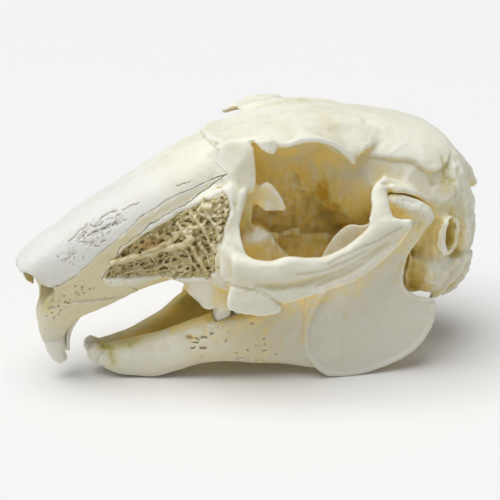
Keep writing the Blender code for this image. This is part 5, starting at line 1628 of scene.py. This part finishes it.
def shelter_of(piece, tree, share):
    """The part of a point's rays that meet bone in reach, known at some points and spread to the rest."""
    points, normals = points_of(piece), normals_of(piece)
    random = np.random.default_rng(5)
    chosen = np.flatnonzero(random.uniform(size=len(points)) < share)
    starts = ((points[chosen] + RAY_START * normals[chosen] - ORIGIN) * MM).tolist()
    closed = np.zeros(len(points))
    for way in unit(random.normal(size=(SHELTER_RAYS, len(chosen), 3))):
        aims = unit(way + 1.02 * normals[chosen]).tolist()
        reach = SHELTER_REACH * MM
        met = [tree.ray_cast(start, aim, reach)[0] is not None for start, aim in zip(starts, aims)]
        closed[chosen] += np.array(met) / SHELTER_RAYS
    known = np.zeros(len(points))
    known[chosen] = 1.0
    ends, count = neighbours(piece)
    met_near, known_near = (spread(values, ends, count, SPREAD_ROUNDS) for values in (closed, known))
    return met_near / np.maximum(known_near, 1e-6)


all_bones = bones_tree([cranium, nasals, front_bones, *(piece for piece, _ in jaws)])
met_from_above = all_bones.ray_cast((0, 0, 1), (0, 0, -1))[0] is not None
print("a ray down on the middle of the skull meets bone:", met_from_above)

# %% [markdown]
# ## Marks for colour
# Six numbers are kept on each point. The painted shade is the share of rays that met bone, measured
# above, made deeper on faces turned down. Hollow says how deep a point lies in a dip, and ridge how far it
# stands out. Crack marks the fine dark lines and pores. Stain marks the amber and brown places: the
# lattice's floor, the back of the eye socket, the gum of the lower front tooth, and it carries painted
# shade on the inner faces of the lower jaw as well. Cool marks the whiter, greyer bone. Each stain is
# given by its middle, its three radii and its strength.

# %% Where the stains are
STAINS = [
    ((10.2, -5.4, 28.0), (1.2, 5.0, 3.4), 1.2), ((11.4, -6.0, 24.8), (1.8, 5.0, 2.4), 1.2),
    ((13.6, -6.5, 21.8), (2.0, 5.0, 2.0), 1.2), ((8.6, -3.6, 26.0), (0.7, 4.0, 2.2), 0.85),
    ((16.0, -9.0, 25.4), (1.4, 3.0, 2.4), 0.8), ((2.6, -8.0, 19.6), (2.0, 3.0, 1.0), 0.6),
    ((10.0, -3.0, 20.2), (4.0, 4.0, 1.4), 0.5), ((5.0, -4.4, 21.6), (1.8, 3.5, 0.9), 0.95),
    ((-3.4, -8.5, 26.6), (2.2, 2.0, 1.4), 0.6), ((1.0, -9.6, 28.4), (0.5, 1.0, 1.2), 0.45),
    ((10.4, -6.0, 38.6), (1.3, 4.0, 2.6), 0.42), ((27.6, -11.0, 30.4), (1.0, 3.0, 3.0), 0.7),
    ((27.0, -11.0, 25.6), (2.4, 3.0, 1.4), 0.4), ((28.6, -12.0, 21.4), (1.4, 2.4, 1.8), 0.5),
    ((23.2, -9.0, 17.0), (1.6, 4.0, 3.6), 0.5), ((-20.6, -3.2, 5.9), (2.8, 2.4, 0.9), 1.2),
    ((-23.4, -2.8, 5.1), (1.5, 2.4, 0.9), 1.2), ((-22.8, -3.2, 3.8), (0.8, 2.0, 1.8), 0.9),
    ((-0.2, -9.8, 2.6), (2.6, 2.5, 0.5), 0.55), ((-33.4, 1.5, 15.0), (2.0, 3.4, 3.0), 0.95),
    ((-33.6, 3.0, 17.0), (1.2, 1.6, 2.0), 0.9), ((-17.6, -6.8, 23.3), (3.2, 3.0, 1.3), 0.95),
    ((17.4, -13.0, 30.0), (2.0, 1.5, 0.6), 0.6),
]
# Painted shade on faces that turn towards the middle, inside the lower jaw, given as the stains are.
INNER_SHADE = [((-17.0, 3.4, 6.0), (7.0, 3.0, 2.4), 0.6), ((-10.0, 4.4, 8.6), (4.0, 2.6, 3.0), 0.95)]
COOL_PLATE = [
    (5.0, 12.0), (9.0, 15.0), (13.0, 19.0), (20.0, 19.0), (21.0, 13.5), (26.4, 12.0), (25.0, 4.0),
    (14.0, -1.0), (6.0, 0.0),
]
JAW_NECK = {"x_to": (14.0, 17.0), "z_from": (17.0, 20.0)}
JAW_BAR = {"x_from": (-16.0, -11.0), "x_to": (0.0, 5.0)}


def patch_at(points, stains):
    """The strongest patch at each point: each fades with the square of the distance in its own radii."""
    total = np.zeros(len(points))
    bent = points + 0.5 * np.column_stack([rough(points, 2.0, 3, 90 + k) for k in range(3)])
    for middle, radii, strength in stains:
        for way in (1, -1):
            d = np.linalg.norm((bent - np.array(middle) * (1, way, 1)) / np.array(radii), axis=1)
            total = np.maximum(total, strength * np.exp(-1.2 * d**2))
    return total


print("stains on each side:", len(STAINS) + len(INNER_SHADE))

# %% Work out the marks
NEAR_ROUNDS = 5
WIDE_ROUNDS = 40
# Painted shade: how much darker the faces turned down are painted.
DARKER_BELOW = 0.36


def mark(piece, marks=None, floor_stain=0.75, cool=0.0, warm=0.0, most=1.0, share=0.12):
    """Stores the six marks on a piece. Warm is added to its painted shade, which is kept below a given most.
    """
    points, normals = points_of(piece), normals_of(piece)
    nothing = np.zeros(len(points))
    given = {"seam": nothing, "crack": nothing, "floor": nothing, **(marks or {})}
    near, wide = relief(piece, NEAR_ROUNDS), relief(piece, WIDE_ROUNDS)
    # Painted shade: faces turned down are painted darker, as less light reaches them.
    shade_below = DARKER_BELOW * ramp(-normals[:, 2], -0.95, 0.2)
    # Painted shade on the inner faces of the lower jaw.
    inner = patch_at(points, INNER_SHADE) * ramp(-outward(points, normals), -0.1, 0.4)
    kept = {
        # Painted shade: the share of rays that meet bone, plus the darker faces turned down.
        "painted_shade": np.minimum(shelter_of(piece, all_bones, share) + shade_below + warm, most),
        # Darker in dips and lighter on ridges: partly painted shade and light, partly dirt and rubbed bone.
        "hollow": ramp(-near, 0.005, 0.09) * 0.55 + ramp(-wide, 0.02, 0.7) * 0.6,
        "ridge": ramp(near, 0.01, 0.09) * 0.5 + ramp(wide, 0.05, 0.6) * 0.4 + 0.8 * given["seam"],
        "crack": given["crack"],
        "stain_and_shade": np.maximum.reduce([patch_at(points, STAINS), inner, floor_stain * given["floor"]]),
        "cool": cool + nothing,
    }
    for name, values in kept.items():
        keep_attribute(piece, name, values)


def cool_of_jaw(points):
    """Greyer over the jaw's plate and along its bar."""
    return np.clip(ramp(depth_inside(side_view(points), COOL_PLATE), -1.5, 1.5) + 0.3, 0, 1)


# Warm adds painted shade piece by piece, less of it on the teeth, the nasals' front and the jaw's neck.
mark(cranium, cranium_marks)
ahead = -points_of(nasals)[:, 0]
mark(nasals, nasal_marks, cool=0.8 * ramp(ahead, 8, 24), warm=-0.2 * ramp(ahead, 8, 16), most=0.55)
low_down = ramp(-points_of(front_bones)[:, 2], -14.0, -8.0)
mark(front_bones, front_marks, cool=0.3 + 0.5 * low_down, warm=0.16 - 0.1 * low_down, most=0.5)
for piece in lattices:
    spots = points_of(piece)
    depth = np.abs(height_at(snout_side, spots[:, 0], spots[:, 2])) - np.abs(spots[:, 1])
    mark(piece, {"floor": ramp(depth, 0.45, 1.2)}, floor_stain=0.42, warm=0.2, share=0.06)
for piece, jaw_marks in jaws:
    spots = points_of(piece)
    warmth = 0.1 * region(spots, **JAW_BAR) - 0.45 * region(spots, **JAW_NECK)
    mark(piece, jaw_marks, cool=cool_of_jaw(spots), warm=warmth)
for piece, _ in teeth:
    mark(piece, warm=-0.15, most=0.3, share=0.3)
kept_marks = [layer.name for layer in cranium.data.attributes if layer.data_type == "FLOAT"]
print("marks kept on the cranium:", kept_marks)

# %% [markdown]
# ## Bone and enamel
# Dry bone is ivory with a soft, slightly waxy light in it. Its colour is mixed from the marks, which paint
# shade in sheltered places, in hollows and on faces turned down, and from noise at three sizes, all in the
# skull's own coordinates. A fine bump adds the grain that is smaller than the mesh, and a little light
# scattered under the surface keeps the shadows warm. One function makes every kind of bone, and only its
# colours change from piece to piece.

# %% Helpers for materials
def feed(tree, node, socket, value):
    """Links another node's output to a socket, or sets a plain value on it."""
    if isinstance(value, bpy.types.NodeSocket):
        tree.links.new(value, node.inputs[socket])
    else:
        node.inputs[socket].default_value = value


def add_node(tree, kind, **inputs):
    """A shader node with some of its sockets fed, by name or by number after an underscore."""
    node = tree.nodes.new(kind)
    for name, value in inputs.items():
        feed(tree, node, int(name[1:]) if name[0] == "_" else name.replace("_", " "), value)
    return node


def mixed(tree, share, first, second):
    """A colour between two others."""
    node = tree.nodes.new("ShaderNodeMix")
    node.data_type = "RGBA"
    for socket, value in ((0, share), (6, first), (7, second)):
        feed(tree, node, socket, value)
    return node.outputs[2]


def ranged(tree, value, low, high, to_low=0.0, to_high=1.0):
    """A number carried from one range to another and held inside it."""
    node = add_node(tree, "ShaderNodeMapRange", _0=value, _1=low, _2=high, _3=to_low, _4=to_high)
    return node.outputs[0]


def product(tree, first, second):
    """Two numbers multiplied."""
    node = tree.nodes.new("ShaderNodeMath")
    node.operation = "MULTIPLY"
    for socket, value in enumerate((first, second)):
        feed(tree, node, socket, value)
    return node.outputs[0]


def attribute(tree, name):
    """The number kept on the mesh under a name."""
    node = tree.nodes.new("ShaderNodeAttribute")
    node.attribute_name = name
    return node.outputs["Fac"]


# %% Bone
IVORY = (0.87, 0.865, 0.735, 1.0)
CREAM = (0.79, 0.755, 0.60, 1.0)
WHITE = (0.93, 0.93, 0.87, 1.0)
# The next two colours are painted shade, given to sheltered places.
SHADE_TAN = (0.66, 0.63, 0.47, 1.0)
SHADE_GOLD = (0.95, 0.70, 0.16, 1.0)
KHAKI = (0.62, 0.52, 0.24, 1.0)
AMBER = (0.64, 0.38, 0.03, 1.0)
OLIVE = (0.47, 0.44, 0.13, 1.0)
RUST = (0.50, 0.27, 0.10, 1.0)
OCHRE = (0.60, 0.54, 0.15, 1.0)
COOL = (0.755, 0.76, 0.76, 1.0)
DARK = (0.16, 0.105, 0.05, 1.0)
SPONGE_IVORY = (0.81, 0.785, 0.64, 1.0)
# The next two sponge colours are painted shade, given to sheltered places of the lattice.
SPONGE_SHADE_TAN = (0.62, 0.555, 0.33, 1.0)
SPONGE_SHADE_GOLD = (0.47, 0.36, 0.13, 1.0)
ENAMEL_IVORY = (0.80, 0.79, 0.73, 1.0)
SKIN_SCATTER = 0.0012
SMALL_BUMP = 0.00018
TINY_BUMP = 0.00006


def bone_material(name, ivory=IVORY, roughness=0.5, grain=1.0, tan=SHADE_TAN, gold=SHADE_GOLD, stains=(OCHRE, AMBER)):
    """Ivory mottled with cream, painted shade from tan to gold where sheltered, khaki in hollows and white
    on ridges, partly painted shade and light, with stains and dark cracks.
    """
    material = bpy.data.materials.new(name)
    material.use_nodes = True
    tree = material.node_tree
    shader = tree.nodes["Principled BSDF"]
    place = add_node(tree, "ShaderNodeTexCoord").outputs["Object"]
    kind = "ShaderNodeTexNoise"
    large = add_node(tree, kind, Vector=place, Scale=130.0, Detail=4.0, Roughness=0.6).outputs[0]
    small = add_node(tree, kind, Vector=place, Scale=900.0, Detail=5.0, Roughness=0.65).outputs[0]
    tiny = add_node(tree, kind, Vector=place, Scale=4200.0, Detail=3.0, Roughness=0.6).outputs[0]
    colour = mixed(tree, ranged(tree, large, 0.42, 0.68), ivory, CREAM)
    colour = mixed(tree, product(tree, attribute(tree, "cool"), 0.85), colour, COOL)
    colour = mixed(tree, ranged(tree, small, 0.5, 0.75, 0.0, 0.28), colour, WHITE)
    # Painted shade: tan, then gold, where the point is sheltered or faces down.
    painted_shade = attribute(tree, "painted_shade")
    colour = mixed(tree, ranged(tree, painted_shade, 0.06, 0.5), colour, tan)
    colour = mixed(tree, ranged(tree, painted_shade, 0.4, 0.85, 0.0, 0.9), colour, gold)
    # Darker in dips and lighter on ridges: partly painted shade and light, partly dirt and rubbed bone.
    colour = mixed(tree, product(tree, attribute(tree, "hollow"), 0.7), colour, KHAKI)
    colour = mixed(tree, product(tree, attribute(tree, "ridge"), 0.6), colour, WHITE)
    # Stains, with the painted shade inside the lower jaw among them.
    stain_and_shade = attribute(tree, "stain_and_shade")
    patchy = product(tree, stain_and_shade, ranged(tree, small, 0.35, 0.6, 0.55, 1.15))
    colour = mixed(tree, patchy, colour, mixed(tree, ranged(tree, stain_and_shade, 0.4, 0.95), *stains))
    colour = mixed(tree, product(tree, attribute(tree, "crack"), 0.9), colour, DARK)
    tree.links.new(colour, shader.inputs["Base Color"])
    gloss = ranged(tree, small, 0.3, 0.7, roughness - 0.08, roughness + 0.1)
    tree.links.new(gloss, shader.inputs["Roughness"])
    shader.inputs["Specular IOR Level"].default_value = 0.42
    shader.inputs["Subsurface Weight"].default_value = 0.12
    shader.inputs["Subsurface Radius"].default_value = (1.0, 0.72, 0.42)
    shader.inputs["Subsurface Scale"].default_value = SKIN_SCATTER
    bumps = add_node(tree, "ShaderNodeBump", Strength=0.5 * grain, Distance=SMALL_BUMP, Height=small)
    finer = add_node(tree, "ShaderNodeBump", Strength=0.3 * grain, Distance=TINY_BUMP, Height=tiny)
    tree.links.new(bumps.outputs[0], finer.inputs["Normal"])
    tree.links.new(finer.outputs[0], shader.inputs["Normal"])
    return material


bone = bone_material("bone")
jaw_bone = bone_material("jaw_bone", stains=(OCHRE, OLIVE))
sponge = bone_material("sponge", ivory=SPONGE_IVORY, tan=SPONGE_SHADE_TAN, gold=SPONGE_SHADE_GOLD, stains=(KHAKI, RUST))
enamel = bone_material("enamel", ivory=ENAMEL_IVORY, roughness=0.36, grain=0.5, stains=(OCHRE, OLIVE))

# %% Give out the materials
MAIN_BONES = [cranium, nasals, front_bones]
JAW_HALVES = [piece for piece, _ in jaws]
TEETH = [piece for piece, _ in teeth]
for pieces, material in ((MAIN_BONES, bone), (lattices, sponge), (JAW_HALVES, jaw_bone), (TEETH, enamel)):
    for piece in pieces:
        piece.data.materials.clear()
        piece.data.materials.append(material)
        piece.data.shade_smooth()
    print(material.name, "on", len(pieces), "pieces")

# %% [markdown]
# ## Which piece stands for which solid
# Every piece rides on the skull's one body. The measured cranium is one solid, so it is hidden once, and
# the large cranium piece, the nasal bones, the front bones and the lattices stand in its place together.
# Each jaw half and each tooth stands in for a solid of its own, which is hidden.

# %% Ride and replace
for piece in [*MAIN_BONES, *lattices, *JAW_HALVES]:
    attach(piece, "root")
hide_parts("cranium")
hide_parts("mandible_left")
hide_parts("mandible_right")
for piece, node in teeth:
    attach(piece, "root")
    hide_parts(node)
print("solids replaced:", 3 + len(teeth))

# %% [markdown]
# ## Table and light
# The skull stands on a white table in soft light. One sun lamp stands nearly overhead, and its wide disc
# softens the shadows. A bright room all round fills them. Area lamps would do too, but they light the table
# unevenly.

# %% Table, lamp and room
TABLE_HALF = 3000.0
TABLE_WHITE = (0.86, 0.86, 0.86, 1.0)
SUN_TOWARD = (-0.32, -0.03, 1.0)
SUN_STRENGTH = 2.6
SUN_SOFTNESS = 60.0
ROOM_STRENGTH = 0.28


def plain_material(name, colour, roughness):
    """A single colour that a soft noise makes up to a hundredth paler."""
    material = bpy.data.materials.new(name)
    material.use_nodes = True
    tree = material.node_tree
    shader = tree.nodes["Principled BSDF"]
    place = add_node(tree, "ShaderNodeTexCoord").outputs["Object"]
    cloud = add_node(tree, "ShaderNodeTexNoise", Vector=place, Scale=20.0, Detail=3.0).outputs[0]
    paler = tuple(min(1.0, c * 1.01) for c in colour[:3]) + (1.0,)
    tree.links.new(mixed(tree, cloud, colour, paler), shader.inputs["Base Color"])
    shader.inputs["Roughness"].default_value = roughness
    return material


corners = np.array([(-1, -1), (1, -1), (1, 1), (-1, 1)]) * TABLE_HALF
table = add_mesh("table", np.column_stack([corners, np.zeros(4)]) + ORIGIN, [np.array([[0, 1, 2, 3]])])
table.data.materials.append(plain_material("white_table", TABLE_WHITE, 0.8))

lamp = bpy.data.lights.new("light_above", "SUN")
lamp.energy = SUN_STRENGTH
lamp.angle = math.radians(SUN_SOFTNESS)
holder = bpy.data.objects.new("light_above", lamp)
bpy.context.scene.collection.objects.link(holder)
holder.rotation_euler = Vector(SUN_TOWARD).to_track_quat("Z", "Y").to_euler()

room = bpy.data.worlds.new("room")
bpy.context.scene.world = room
room.use_nodes = True
room.node_tree.nodes["Background"].inputs["Color"].default_value = (1.0, 1.0, 1.0, 1.0)
room.node_tree.nodes["Background"].inputs["Strength"].default_value = ROOM_STRENGTH
bpy.context.scene.view_settings.view_transform = "Standard"
print("sun:", SUN_STRENGTH, "room:", ROOM_STRENGTH)
